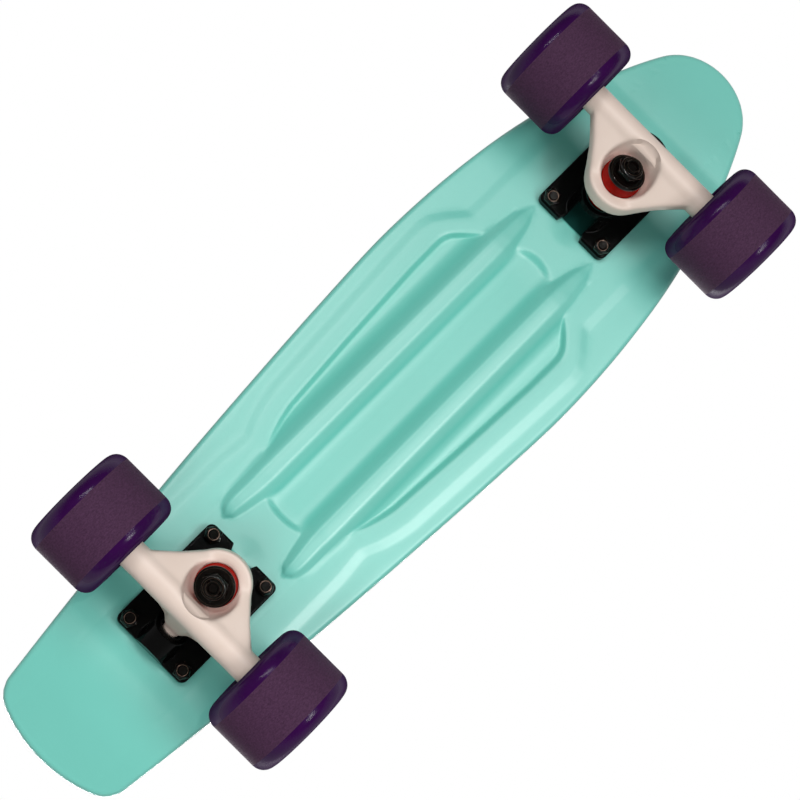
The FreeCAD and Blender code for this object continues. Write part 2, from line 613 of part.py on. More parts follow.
def hanger_body():
    """Cast body lofted from the deep middle out to the round arms."""
    axle = AXLE_POINT.sub(RING_CENTRE)
    axle_across = axle.dot(ACROSS_DIR)
    axle_along = axle.dot(KINGPIN_DIR)
    arm = []
    for degrees in (160, 200, 245, 290, 335, 20, 65, 110):
        turn = math.radians(degrees)
        across = axle_across + ARM_RADIUS * math.cos(turn)
        arm.append((across, axle_along + ARM_RADIUS * math.sin(turn)))
    back = axle_across + ARM_RADIUS
    road = axle_along + ARM_RADIUS
    ring = RING_DIAMETER / 2
    middle = [
        (-ring / 2, RING_FACE), (-ring / 2, -RING_FACE),
        (axle_across - MIDDLE_CREST_INWARD, -RING_FACE - MIDDLE_BOARD_RISE), (back - MIDDLE_BACK_SLOPE, 0),
        (back, axle_along - MIDDLE_BACK_RISE), (back, axle_along + MIDDLE_BACK_DROP),
        (axle_across + MIDDLE_KEEL_OUTWARD, road),
        (axle_across - MIDDLE_KEEL_INWARD, road - MIDDLE_KEEL_SLOPE)]
    shoulder = []
    for (near_across, near_along), (far_across, far_along) in zip(middle, arm):
        across = near_across + (far_across - near_across) * SHOULDER_BLEND
        shoulder.append((across, near_along + (far_along - near_along) * SHOULDER_BLEND))
    halves = [(ARM_START_HALF, arm), (SHOULDER_HALF, shoulder), (MIDDLE_HALF, middle)]
    sections = [hanger_section(-half, corners) for half, corners in halves]
    sections += [hanger_section(half, corners) for half, corners in reversed(halves)]
    return Part.makeLoft(sections, True, True)


def pivot_gusset():
    """Flared web from the arms out to the pivot's neck."""
    neck = PIVOT + STEER_DIR * (PIVOT_CUP_FRONT + 2.5)
    back = AXLE_OUTWARD + ARM_RADIUS
    side = [
        vec(neck.x - 3, 0, neck.z - 1), vec(neck.x + 3.5, 0, neck.z - 5.5),
        vec(back - 0.6, 0, -AXLE_DROP + 6), vec(AXLE_OUTWARD, 0, -AXLE_DROP + 3),
        vec(AXLE_OUTWARD - MIDDLE_CREST_INWARD, 0, -AXLE_DROP + 14)]
    side = [point - SIDE_DIR * HANGER_HALF for point in side]
    slab = prism(side, SIDE_DIR * HANGER_WIDTH)
    plan = mirrored_ring([
        (neck.x + 4, GUSSET_NECK_HALF), (back - 2, GUSSET_BACK_HALF),
        (back - 4.5, GUSSET_HALF), (-4, GUSSET_HALF)])
    return slab.common(prism([vec(x, y, 0) for x, y in plan], vec(0, 0, -CUTTER_RUN)))


def hanger():
    arms = rod(ARM_RADIUS, AXLE_POINT - SIDE_DIR * HANGER_HALF, AXLE_POINT + SIDE_DIR * HANGER_HALF)
    ring = rod(RING_DIAMETER / 2, on_kingpin(-RING_FACE), on_kingpin(RING_FACE))
    neck = Part.makeCone(PIVOT_BALL_RADIUS, PIVOT_NECK_RADIUS, PIVOT_NECK_LENGTH, PIVOT, STEER_DIR)
    ball = Part.makeSphere(PIVOT_BALL_RADIUS, PIVOT)
    body = hanger_body().multiFuse([arms, ring, neck, pivot_gusset(), ball])
    recess = RING_RECESS_DIAMETER / 2
    flare_end = SPOT_FACE_RADIUS + SPOT_FLARE_GROWTH
    flare_base = on_kingpin(SPOT_FLARE_START, -SPOT_FACE_INWARD)
    cutters = [
        rod(SPOT_FACE_RADIUS, on_kingpin(RING_FACE, -SPOT_FACE_INWARD), flare_base),
        Part.makeCone(SPOT_FACE_RADIUS, flare_end, SPOT_FLARE_LENGTH, flare_base, KINGPIN_DIR),
        rod(recess, on_kingpin(RECESS_FLOOR), on_kingpin(SPOT_FLARE_START)),
        rod(recess, on_kingpin(-RECESS_FLOOR), on_kingpin(BOSS_SEAT)),
        rod(RING_BORE_DIAMETER / 2, on_kingpin(-RING_FACE), on_kingpin(RING_FACE)),
        rod(AXLE_RADIUS, AXLE_POINT - SIDE_DIR * HANGER_HALF, AXLE_POINT + SIDE_DIR * HANGER_HALF)]
    return body.cut(cutters)


# ---------------------------------------------------------------- kingpin stack
def kingpin():
    shank = rod(KINGPIN_DIAMETER / 2, on_kingpin(HEAD_SEAT), on_kingpin(KINGPIN_END))
    head = hexagon(KINGPIN_HEAD_FLATS, on_kingpin(HEAD_SEAT - KINGPIN_HEAD_HEIGHT), on_kingpin(HEAD_SEAT))
    return fuse_all([shank, head])


def kingpin_nut():
    hex_end = KINGPIN_NUT_FACE + KINGPIN_NUT_HEIGHT
    body = hexagon(KINGPIN_NUT_FLATS, on_kingpin(KINGPIN_NUT_FACE), on_kingpin(hex_end))
    collar_radius = KINGPIN_NUT_FLATS / 2 - NUT_COLLAR_INSET
    collar = rod(collar_radius, on_kingpin(KINGPIN_NUT_FACE), on_kingpin(KINGPIN_NUT_END))
    bore = rod(KINGPIN_DIAMETER / 2, on_kingpin(KINGPIN_NUT_FACE), on_kingpin(KINGPIN_NUT_END))
    return fuse_all([body, collar]).cut(bore)


def cup_washer(face, towards):
    """A dished washer whose inside face is at "face", with its rim towards the bushing."""
    hole = KINGPIN_DIAMETER / 2 + KINGPIN_HOLE_GAP
    rim = CUP_WASHER_DIAMETER / 2
    thick = -towards * CUP_WASHER_THICKNESS
    lip = towards * CUP_RIM_HEIGHT
    inside = rim - CUP_RIM_THICKNESS
    profile = [
        (hole, face), (inside, face), (inside, face + lip), (rim, face + lip),
        (rim, face + thick / 2), (rim - CUP_EDGE_CHAMFER, face + thick), (hole, face + thick)]
    return turned(profile, RING_CENTRE, KINGPIN_DIR)


def bushing(seat, length, towards):
    """A soft ring from its seat in the hanger out to its cup washer."""
    bore = KINGPIN_DIAMETER / 2 + BUSHING_BORE_GAP
    outside = [
        (BUSHING_BELLY_RADIUS - BUSHING_EDGE_INSET, 0.0), (BUSHING_BELLY_RADIUS, BUSHING_EDGE_ROUND),
        (BUSHING_BELLY_RADIUS, length * BUSHING_CONE_START), (BUSHING_END_RADIUS, length - BUSHING_END_RUN),
        (BUSHING_END_RADIUS, length)]
    profile = [(radius, seat + towards * run) for radius, run in [(bore, 0.0), *outside, (bore, length)]]
    return turned(profile, RING_CENTRE, KINGPIN_DIR)


# ---------------------------------------------------------------- axle and bearings
def axle():
    return rod(AXLE_RADIUS, AXLE_POINT - SIDE_DIR * AXLE_END_Y, AXLE_POINT + SIDE_DIR * AXLE_END_Y)


def at_axle(side, distance):
    return AXLE_POINT + SIDE_DIR * (side * distance)


def axle_nut(side):
    start, end = at_axle(side, AXLE_NUT_START), at_axle(side, AXLE_NUT_START + AXLE_NUT_HEIGHT)
    collar_start = at_axle(side, AXLE_NUT_START + AXLE_NUT_HEIGHT - AXLE_NUT_COLLAR)
    body = hexagon(AXLE_NUT_FLATS, start, collar_start, vec(0, 0, 1))
    collar = rod(AXLE_NUT_FLATS / 2 - NUT_COLLAR_INSET, start, end)
    return fuse_all([body, collar]).cut(rod(AXLE_RADIUS, start, end))


def speed_washers(side):
    pieces = []
    for start, end in ((HANGER_HALF, INNER_BEARING_START), (OUTER_BEARING_END, AXLE_NUT_START)):
        pieces.append(tube(AXLE_RADIUS, SPEED_WASHER_DIAMETER / 2, at_axle(side, start), at_axle(side, end)))
    return pieces


def bearing_spacer(side):
    half = BEARING_SPACER_LENGTH / 2
    start, end = at_axle(side, WHEEL_CENTRE_Y - half), at_axle(side, WHEEL_CENTRE_Y + half)
    return tube(BEARING_BORE / 2, BEARING_SPACER_DIAMETER / 2, start, end)


def bearing_centres(side):
    return [at_axle(side, WHEEL_CENTRE_Y + step * BEARING_OFFSET) for step in (-1, 1)]


def ball_track(centre):
    groove = BALL_DIAMETER / 2 + BALL_RUNNING_GAP
    return Part.makeTorus(BALL_CIRCLE_DIAMETER / 2, groove, centre, SIDE_DIR)


def bearing_ring(centre, inner, outer):
    half = SIDE_DIR * (BEARING_WIDTH / 2)
    return tube(inner, outer, centre - half, centre + half).cut(ball_track(centre))


def inner_rings(side):
    outer = INNER_RING_DIAMETER / 2
    return [bearing_ring(centre, BEARING_BORE / 2, outer) for centre in bearing_centres(side)]


def outer_rings(side):
    inner = OUTER_RING_INSIDE / 2
    return [bearing_ring(centre, inner, BEARING_OUTSIDE / 2) for centre in bearing_centres(side)]


def shields(side):
    """Two thin pressed shields on each bearing, held by its outer ring."""
    pieces = []
    low = INNER_RING_DIAMETER / 2 + SHIELD_LIP_GAP
    for centre in bearing_centres(side):
        for face in (-1, 1):
            outer_face = centre + SIDE_DIR * (face * (BEARING_WIDTH / 2 - SHIELD_INSET))
            inner_face = outer_face - SIDE_DIR * (face * SHIELD_THICKNESS)
            pieces.append(tube(low, OUTER_RING_INSIDE / 2, inner_face, outer_face))
    return pieces


def ball_centres(centre):
    radius = BALL_CIRCLE_DIAMETER / 2
    places = []
    for step in range(BALL_COUNT):
        turn = 2 * math.pi * step / BALL_COUNT
        places.append(centre + vec(radius * math.sin(turn), 0, radius * math.cos(turn)))
    return places


def balls(side):
    pieces = []
    for centre in bearing_centres(side):
        pieces += [Part.makeSphere(BALL_DIAMETER / 2, place) for place in ball_centres(centre)]
    return pieces


def cages(side):
    pieces = []
    low = INNER_RING_DIAMETER / 2 + CAGE_RADIAL_GAP
    high = OUTER_RING_INSIDE / 2 - CAGE_RADIAL_GAP
    for centre in bearing_centres(side):
        half = SIDE_DIR * (CAGE_WIDTH / 2)
        ring = tube(low, high, centre - half, centre + half)
        drill = BALL_DIAMETER / 2 + CAGE_POCKET_GAP
        pockets = [rod(drill, centre, centre + (place - centre) * 2) for place in ball_centres(centre)]
        pieces.append(ring.cut(pockets))
    return pieces


def wheel(side):
    """Cast urethane wheel: flat tread, rounded lips, hub recess and bearing seats."""
    half, tread = WHEEL_WIDTH / 2, TREAD_WIDTH / 2
    seat_in, seat_out = BEARING_SPACER_LENGTH / 2, BEARING_SPACER_LENGTH / 2 + BEARING_WIDTH
    radius = WHEEL_DIAMETER / 2
    centre = at_axle(side, WHEEL_CENTRE_Y)

    def place(r, a):
        return centre + vec(0, a, r)

    def lip(sign):
        edge, face = (radius, sign * tread), (LIP_FACE_RADIUS, sign * half)
        turn = math.sqrt(0.5)
        middle_radius = LIP_FACE_RADIUS + (radius - LIP_FACE_RADIUS) * turn
        middle = (middle_radius, sign * (tread + (half - tread) * turn))
        return Part.Arc(place(*face), place(*middle), place(*edge)).toShape()

    def run(points):
        spots = [place(r, a) for r, a in points]
        return [Part.makeLine(first, second) for first, second in zip(spots, spots[1:])]

    bearing = BEARING_OUTSIDE / 2
    left = [
        (LIP_FACE_RADIUS, half), (HUB_MOUTH_RADIUS, half), (HUB_FLOOR_RADIUS, seat_out),
        (bearing, seat_out), (bearing, seat_in), (BEARING_SHOULDER_RADIUS, seat_in)]
    right = [(r, -a) for r, a in reversed(left)]
    edges = [lip(1), lip(-1)] + run(left) + run(right)
    edges += run([left[-1], right[0]]) + run([(radius, tread), (radius, -tread)])
    face = Part.Face(Part.Wire(Part.__sortEdges__(edges)))
    return face.revolve(centre, SIDE_DIR, 360)


# ---------------------------------------------------------------- assembly
def placed(shapes, truck_x, turn):
    """Copies of truck pieces, turned about the upright and set under the deck."""
    out = []
    for shape in shapes:
        copy = shape.copy()
        copy.rotate(vec(0, 0, 0), vec(0, 0, 1), turn)
        copy.translate(vec(truck_x, 0, MOUNT_Z))
        out.append(copy)
    return out


def save(name, shapes):
    export(name, shapes[0] if len(shapes) == 1 else Part.Compound(shapes))


def build_truck(end, truck_x, turn):
    """One truck with its two wheels; "end" is front or rear."""
    single = {
        "baseplate": baseplate(), "pivot_cup": pivot_cup(), "hanger": hanger(), "kingpin": kingpin(),
        "kingpin_nut": kingpin_nut(), "axle": axle(),
        "base_cup_washer": cup_washer(LOWER_BUSHING_BACK, 1),
        "road_cup_washer": cup_washer(TOP_WASHER_FACE, -1),
        "board_side_bushing": bushing(-RECESS_FLOOR, LOWER_BUSHING_LENGTH, -1),
        "road_side_bushing": bushing(RECESS_FLOOR, UPPER_BUSHING_LENGTH, 1)}
    for name, shape in single.items():
        save(end + "_" + name, placed([shape], truck_x, turn))
    both = (1, -1)
    save(end + "_axle_nuts", placed([axle_nut(side) for side in both], truck_x, turn))
    save(end + "_speed_washers", placed(speed_washers(1) + speed_washers(-1), truck_x, turn))
    save(end + "_bearing_spacers", placed([bearing_spacer(side) for side in both], truck_x, turn))
    save(end + "_bearing_inner_rings", placed(inner_rings(1) + inner_rings(-1), truck_x, turn))
    save(end + "_deck_bolts", [deck_bolt(x, y) for x, y in bolt_places(truck_x)])
    save(end + "_deck_nuts", [deck_nut(x, y) for x, y in bolt_places(truck_x)])
    for side in both:
        hand = "left" if (side > 0) == (turn == 0) else "right"
        name = end + "_" + hand + "_"
        save(name + "wheel", placed([wheel(side)], truck_x, turn))
        save(name + "bearing_outer_rings", placed(outer_rings(side), truck_x, turn))
        save(name + "bearing_shields", placed(shields(side), truck_x, turn))
        save(name + "bearing_balls", placed(balls(side), truck_x, turn))
        save(name + "bearing_cages", placed(cages(side), truck_x, turn))


os.makedirs("parts", exist_ok=True)
save("deck", [deck()])
build_truck("front", FRONT_TRUCK_X, 0)
build_truck("rear", REAR_TRUCK_X, 180)
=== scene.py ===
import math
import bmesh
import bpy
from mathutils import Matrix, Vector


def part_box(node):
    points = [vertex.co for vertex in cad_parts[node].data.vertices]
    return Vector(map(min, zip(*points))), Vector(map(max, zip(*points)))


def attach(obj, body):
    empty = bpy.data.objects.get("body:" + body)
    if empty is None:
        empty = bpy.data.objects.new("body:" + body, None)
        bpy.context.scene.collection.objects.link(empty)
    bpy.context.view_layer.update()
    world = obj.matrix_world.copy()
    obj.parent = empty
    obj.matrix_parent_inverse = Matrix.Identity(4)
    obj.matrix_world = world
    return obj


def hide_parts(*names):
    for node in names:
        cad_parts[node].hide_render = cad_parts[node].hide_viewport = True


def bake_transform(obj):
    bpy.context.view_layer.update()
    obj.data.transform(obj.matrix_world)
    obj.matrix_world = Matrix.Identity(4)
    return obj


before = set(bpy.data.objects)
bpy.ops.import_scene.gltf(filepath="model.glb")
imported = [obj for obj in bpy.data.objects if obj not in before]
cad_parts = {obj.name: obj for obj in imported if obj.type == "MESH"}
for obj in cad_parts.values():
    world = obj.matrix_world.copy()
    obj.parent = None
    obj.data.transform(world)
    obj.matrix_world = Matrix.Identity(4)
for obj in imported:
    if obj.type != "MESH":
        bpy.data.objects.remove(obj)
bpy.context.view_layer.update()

# %% [markdown]
# A plastic mini cruiser skateboard, seen from below.
#
# The frame loaded above holds every part at its true size: +X to the nose, +Y to the left, +Z up,
# wheels on the ground at z = 0. This lesson gives each part its real surface. Parts whose shape is
# already right keep their mesh and get a finish. Parts that need softer or finer shapes, such as
# the moulded deck or the cast hangers, are modelled again in the same place.

MM = 0.001

# %% [markdown]
# Colours are written as the sRGB hex values that a paint chip would have. Shaders count light
# in linear steps instead, so one function turns the first into the second, and no colour in this
# lesson is given in any other way.

# %% Colour helper
def srgb(code):
    """Linear RGBA from a hex colour such as '#7FCDBB'."""
    channels = [int(code[place:place + 2], 16) / 255 for place in (1, 3, 5)]
    return [c / 12.92 if c <= 0.04045 else ((c + 0.055) / 1.055) ** 2.4 for c in channels] + [1.0]


print("a middle grey, #808080, is", round(srgb("#808080")[0], 3), "in linear light")

# %% [markdown]
# A material is a tree of nodes. It could be put together link by link, but one function that adds
# a node with its settings and links lets each material below read as a short recipe. Patterns are
# sized from real millimetres, so that grain and scratches keep their scale on every piece.

# %% Material helpers
def new_material(name):
    """An empty node material with its Principled shader; gives material, tree and shader."""
    material = bpy.data.materials.new(name)
    material.use_nodes = True
    print("finish", name)
    return material, material.node_tree, material.node_tree.nodes["Principled BSDF"]


def wire(tree, node, **sockets):
    """Set a node's inputs: each is a value, or a (node, output) link. i0 is the first input."""
    for key, value in sockets.items():
        name = key.replace("_", " ")
        numbered = name[0] == "i" and name[1:].isdigit()
        socket = node.inputs[int(name[1:]) if numbered else name]
        if isinstance(value, tuple) and hasattr(value[0], "outputs"):
            tree.links.new(value[0].outputs[value[1]], socket)
        else:
            socket.default_value = value
    return node


def add_node(tree, kind, settings=(), **sockets):
    """Add a node; settings are its properties, and sockets go to wire."""
    node = tree.nodes.new(kind)
    for key, value in dict(settings).items():
        setattr(node, key, value)
    return wire(tree, node, **sockets)


def per_mm(size):
    """Texture scale whose pattern repeats about every size millimetres."""
    return 1 / (size * MM)


COLOUR_MIX = {"data_type": "RGBA"}
print("a pattern that repeats every 2 mm has scale", per_mm(2))

# %% [markdown]
# Each new piece is shaped as a bmesh, already in its place on the board. It becomes an object that
# rides on one body, takes over from the plain solid of that name and shades smooth except at its
# real edges.

# %% Piece helpers
def whole(bm):
    """All that a bmesh holds, as its operators ask for it."""
    return bm.verts[:] + bm.edges[:] + bm.faces[:]


def verts_in(items):
    """The points among an operator's results."""
    return [item for item in items if isinstance(item, bmesh.types.BMVert)]


def edges_in(items):
    """The edges among an operator's results."""
    return [item for item in items if isinstance(item, bmesh.types.BMEdge)]


def finish_piece(name, bm, materials, body, replaces=(), sharp=35):
    """Turn a bmesh, already in place, into a smooth-shaded piece that rides on a body."""
    mesh = bpy.data.meshes.new(name)
    bm.to_mesh(mesh)
    bm.free()
    for material in materials:
        mesh.materials.append(material)
    mesh.polygons.foreach_set("use_smooth", [True] * len(mesh.polygons))
    mesh.set_sharp_from_angle(angle=math.radians(sharp))
    piece = bpy.data.objects.new(name, mesh)
    bpy.context.scene.collection.objects.link(piece)
    if body:
        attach(piece, body)
    if replaces:
        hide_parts(*replaces)
    print(name, len(mesh.polygons), "faces")
    return piece


# %% [markdown]
# The camera looks up at the underside from a little behind the tail and 1.3 m away, turned so that
# the board lies from lower left to upper right. A lens of 105 mm keeps the shape true.

# %% Camera
CAMERA_PLACE = (-0.3257, -0.0135, -1.2243)
CAMERA_TURN = (-170.5106, 10.1665, 45.8852)
LENS, SENSOR, FARTHEST = 104.85, 36.0, 50.0
camera_data = bpy.data.cameras.new("camera")
camera_data.lens = LENS
camera_data.sensor_width = SENSOR
camera_data.clip_end = FARTHEST
camera = bpy.data.objects.new("camera", camera_data)
camera.location = CAMERA_PLACE
camera.rotation_euler = [math.radians(turn) for turn in CAMERA_TURN]
bpy.context.scene.collection.objects.link(camera)
bpy.context.scene.camera = camera
print("camera", round(camera.location.length, 2), "m from the board's middle")

# %% [markdown]
# The stage is a white studio. The board stands on a pale floor, and the floor has to vanish when it
# is looked at from below, or it would hide the board. A hole in it would do, but then a view from
# above would lose the shadow. So its material is clear from underneath, and shadow and diffuse
# rays pass it, which lets the lamps below shine through.

# %% Floor
FLOOR_HALF = 20.0   # metres, so that its edge is past what any view shows of the ground nearby
LARGER = {"operation": "MAXIMUM"}


def floor_material():
    """Matt pale board from above, nothing at all from below."""
    material, tree, shader = new_material("studio_floor")
    wire(tree, shader, Base_Color=srgb("#F4F4F2"), Roughness=0.9)
    clear = add_node(tree, "ShaderNodeBsdfTransparent")
    side = add_node(tree, "ShaderNodeNewGeometry")
    ray = add_node(tree, "ShaderNodeLightPath")
    either = add_node(tree, "ShaderNodeMath", LARGER, i0=(side, "Backfacing"), i1=(ray, "Is Shadow Ray"))
    either = add_node(tree, "ShaderNodeMath", LARGER, i0=(either, 0), i1=(ray, "Is Diffuse Ray"))
    mix = add_node(tree, "ShaderNodeMixShader", i0=(either, 0), i1=(shader, 0), i2=(clear, 0))
    wire(tree, tree.nodes["Material Output"], Surface=(mix, 0))
    return material


floor_bm = bmesh.new()
bmesh.ops.create_grid(floor_bm, x_segments=1, y_segments=1, size=FLOOR_HALF)
floor_mesh = bpy.data.meshes.new("floor")
floor_bm.to_mesh(floor_mesh)
floor_bm.free()
floor_mesh.materials.append(floor_material())
floor = bpy.data.objects.new("floor", floor_mesh)
bpy.context.scene.collection.objects.link(floor)
print("floor", 2 * FLOOR_HALF, "m across")

# %% [markdown]
# The walls of the studio are the world. The camera, mirrors and clear things see them pure white.
# As a light they are kept faint, because light from all sides would flatten the deck's relief.

# %% World
WORLD_FILL = 0.05   # how strongly the white walls light matt surfaces
world = bpy.data.worlds.new("studio")
bpy.context.scene.world = world
world.use_nodes = True
sky = world.node_tree
ray = add_node(sky, "ShaderNodeLightPath")
seen = add_node(sky, "ShaderNodeMath", LARGER, i0=(ray, "Is Camera Ray"), i1=(ray, "Is Transmission Ray"))
seen = add_node(sky, "ShaderNodeMath", LARGER, i0=(seen, 0), i1=(ray, "Is Glossy Ray"))
strength = add_node(sky, "ShaderNodeMapRange", Value=(seen, 0), To_Min=WORLD_FILL, To_Max=1.0)
wire(sky, sky.nodes["Background"], Color=(1.0, 1.0, 1.0, 1.0), Strength=(strength, 0))
bpy.context.scene.view_settings.view_transform = "Standard"
print("world lights at", WORLD_FILL, "and shows at 1")

# %% [markdown]
# The lamps hang below the floor, because that is the side the camera looks at. Two soft boxes
# light the deck from its long sides, so that each rib and wall has a light and a dark face, and a
# wide one fills. A small one lifts the tail, and gives no gloss, which would band across the kick.
# Two tiny ones put sparks on the wheels. A broad sun stands in for a lit ceiling.

# %% Lamps
def soft_lamp(name, place, aim, size, watts):
    """A rectangular soft box at a place, facing a point."""
    data = bpy.data.lights.new(name, "AREA")
    data.shape = "RECTANGLE"
    data.size = size[0]
    data.size_y = size[1]
    data.energy = watts
    lamp = bpy.data.objects.new(name, data)
    lamp.location = place
    lamp.rotation_euler = (Vector(aim) - Vector(place)).to_track_quat("-Z", "Y").to_euler()
    bpy.context.scene.collection.objects.link(lamp)
    return lamp


STUDIO = [
    ("left_box", (0.24, 0.80, -1.50), (0.60, 0.60), 9.4),
    ("right_box", (0.20, -0.48, -1.50), (0.60, 0.36), 4.7),
    ("wide_box", (0.55, 0.03, -2.00), (1.50, 0.70), 10.8),
    ("tail_box", (-0.58, 0.04, -0.60), (0.30, 0.30), 2.1),
    ("left_spark", (0.10, 0.55, -1.10), (0.05, 0.05), 0.5),
    ("right_spark", (-0.15, -0.50, -1.10), (0.05, 0.05), 0.5)]
AIM = (0.0, 0.0, 0.09)   # the middle of the deck
for name, place, size, watts in STUDIO:
    lamp = soft_lamp(name, place, AIM, size, watts)
    # The lamps' light comes through the clear floor right only without this kind of sampling.
    lamp.data.cycles.use_multiple_importance_sampling = False
    lamp.visible_camera = False
    lamp.visible_glossy = name != "tail_box"
    print(name, watts, "W")

# The ceiling's light is even all over, so the floor stays pale right out to its edge.
CEILING_STRENGTH, CEILING_SPREAD, CEILING_TILT = 2.9, math.radians(50), (-14, -10, 0)
ceiling_data = bpy.data.lights.new("ceiling", "SUN")
ceiling_data.energy = CEILING_STRENGTH
ceiling_data.angle = CEILING_SPREAD
ceiling_data.cycles.use_multiple_importance_sampling = False
ceiling = bpy.data.objects.new("ceiling", ceiling_data)
ceiling.rotation_euler = [math.radians(turn) for turn in CEILING_TILT]
bpy.context.scene.collection.objects.link(ceiling)
print("ceiling", CEILING_STRENGTH, "W per square metre")

# %% [markdown]
# Moulded polypropylene has a fine satin skin, because the mould is spark finished, so light spreads softly
# on it. The colour runs right through, with only faint flow clouds. The deck's mesh carries a map of
# painted light: a painted shadow darkens the skin where the plates cover it, painted shade lowers the sheen
# in the corners, and painted highlights raise it on some edges. It could be painted by hand, but here it
# comes from the same sizes as the ribs, so it stays on them.

# %% Moulded polypropylene
PAINTED_SHADOW_STARTS = 0.45             # above this the map paints shadow, below it only painted shade on the sheen
PAINTED_SHEEN_RANGE = 0.4                # map values that take the painted sheen from one end to the other
CLOUD_MM, SATIN_MM = 70, 1.1    # real spark grain is about 0.1 mm; drawn coarser so that it shows
SKIN_DEPTH = 0.2 * MM           # how deep the bumps of a skin are, before its strength is set


def moulded_polypropylene():
    """Satin mint plastic: a soft, wide highlight over an almost even colour, with painted shadow and
    painted sheen from a map.
    """
    material, tree, shader = new_material("mint_moulded_polypropylene")
    place = add_node(tree, "ShaderNodeTexCoord")
    clouds = add_node(
        tree, "ShaderNodeTexNoise", Vector=(place, "Object"), Scale=per_mm(CLOUD_MM), Detail=3.0)
    colour = add_node(
        tree, "ShaderNodeMix", COLOUR_MIX, Factor=(clouds, "Fac"), A=srgb("#6DC7B8"), B=srgb("#75D0C2"))
    # Painted light: the map darkens the colour as a painted shadow under the plates, and sets painted shade
    # and sheen through the specular level.
    painted_shade_and_sheen = add_node(tree, "ShaderNodeAttribute", {"attribute_name": "painted_shade_and_sheen"})
    painted_shadow = add_node(tree, "ShaderNodeMapRange", Value=(painted_shade_and_sheen, "Fac"), From_Min=PAINTED_SHADOW_STARTS)
    shadowed_colour = add_node(
        tree, "ShaderNodeMix", COLOUR_MIX, Factor=(painted_shadow, 0), A=(colour, "Result"), B=srgb("#143C37"))
    # Painted sheen and shade: the specular level runs from 2 where the map is lowest to 0 in the most
    # shaded corners.
    painted_sheen = add_node(
        tree, "ShaderNodeMapRange", Value=(painted_shade_and_sheen, "Fac"),
        From_Min=-PAINTED_SHEEN_RANGE, From_Max=PAINTED_SHEEN_RANGE, To_Min=2.0, To_Max=0.0)
    grain = add_node(
        tree, "ShaderNodeTexNoise", Vector=(place, "Object"), Scale=per_mm(SATIN_MM), Detail=4.0)
    bump = add_node(tree, "ShaderNodeBump", Height=(grain, "Fac"), Strength=0.10, Distance=SKIN_DEPTH)
    rough = add_node(tree, "ShaderNodeMapRange", Value=(grain, "Fac"), To_Min=0.34, To_Max=0.42)
    wire(
        tree, shader, Base_Color=(shadowed_colour, "Result"), Specular_IOR_Level=(painted_sheen, 0), Normal=(bump, 0),
        Roughness=(rough, 0), IOR=1.49)
    return material


deck_plastic = moulded_polypropylene()

# %% [markdown]
# The truck castings are painted, the hangers in a satin cream with a hint of pink, the baseplates
# in gloss black enamel. Thick paint over a casting shows a faint orange peel, so the material is a
# clouded colour with a soft, low bump. The bolts and nuts are plated black, thin and close to the
# metal, and so they take the same recipe with a finer skin and a crisper gloss.

# %% Paint over casting
PAINT_CLOUD_MM = 18


def cast_paint(name, low, high, rough_low, rough_high, peel, peel_mm, gloss=0.5):
    """Paint between two colours and two roughnesses, over a skin of orange peel."""
    material, tree, shader = new_material(name)
    place = add_node(tree, "ShaderNodeTexCoord")
    cloud = add_node(
        tree, "ShaderNodeTexNoise", Vector=(place, "Object"), Scale=per_mm(PAINT_CLOUD_MM), Detail=3.0)
    colour = add_node(tree, "ShaderNodeMix", COLOUR_MIX, Factor=(cloud, "Fac"), A=srgb(low), B=srgb(high))
    skin = add_node(tree, "ShaderNodeTexNoise", Vector=(place, "Object"), Scale=per_mm(peel_mm), Detail=2.0)
    bump = add_node(tree, "ShaderNodeBump", Height=(skin, "Fac"), Strength=peel, Distance=SKIN_DEPTH)
    rough = add_node(tree, "ShaderNodeMapRange", Value=(cloud, "Fac"), To_Min=rough_low, To_Max=rough_high)
    wire(
        tree, shader, Base_Color=(colour, "Result"), Normal=(bump, 0), Roughness=(rough, 0),
        Specular_IOR_Level=gloss)
    return material


# Satin: a wide, pale highlight that rolls over the arms.
cream_paint = cast_paint("cream_paint_on_casting", "#E5D0C2", "#EDDBCF", 0.36, 0.48, 0.16, 2.2)
# Gloss: near black, with small clean highlights. Its mirror share is low, or the white room greys it.
black_enamel = cast_paint(
    "gloss_black_enamel_on_casting", "#060606", "#0B0B0B", 0.10, 0.18, 0.14, 2.6, 0.035)
# Plating: black with a warm tinge and the sharpest highlights on the board.
black_steel = cast_paint("black_plated_steel", "#050303", "#120B09", 0.07, 0.12, 0.05, 1.4, 0.14)

# %% [markdown]
# The wheels are cast polyurethane, a deep purple. The lips keep the gloss of the mould. The tread
# has been ground true after casting, so it is matt, paler and full of fine scratches. One material
# with a mask could hold both, but two on one mesh keep the line between them sharp.

# %% Wheel finishes
HAZE_FROM, HAZE_TO = 0.4, 0.8   # how far a surface turns away before it goes hazy
SCRATCH_MM, SCRATCH_ASPECT = 1.5, 1.6   # real grinding lines are about 0.1 mm; drawn coarser
LIP_CLOUD_MM, RIPPLE_MM, RIPPLE_DEPTH = 14, 9, 0.3 * MM


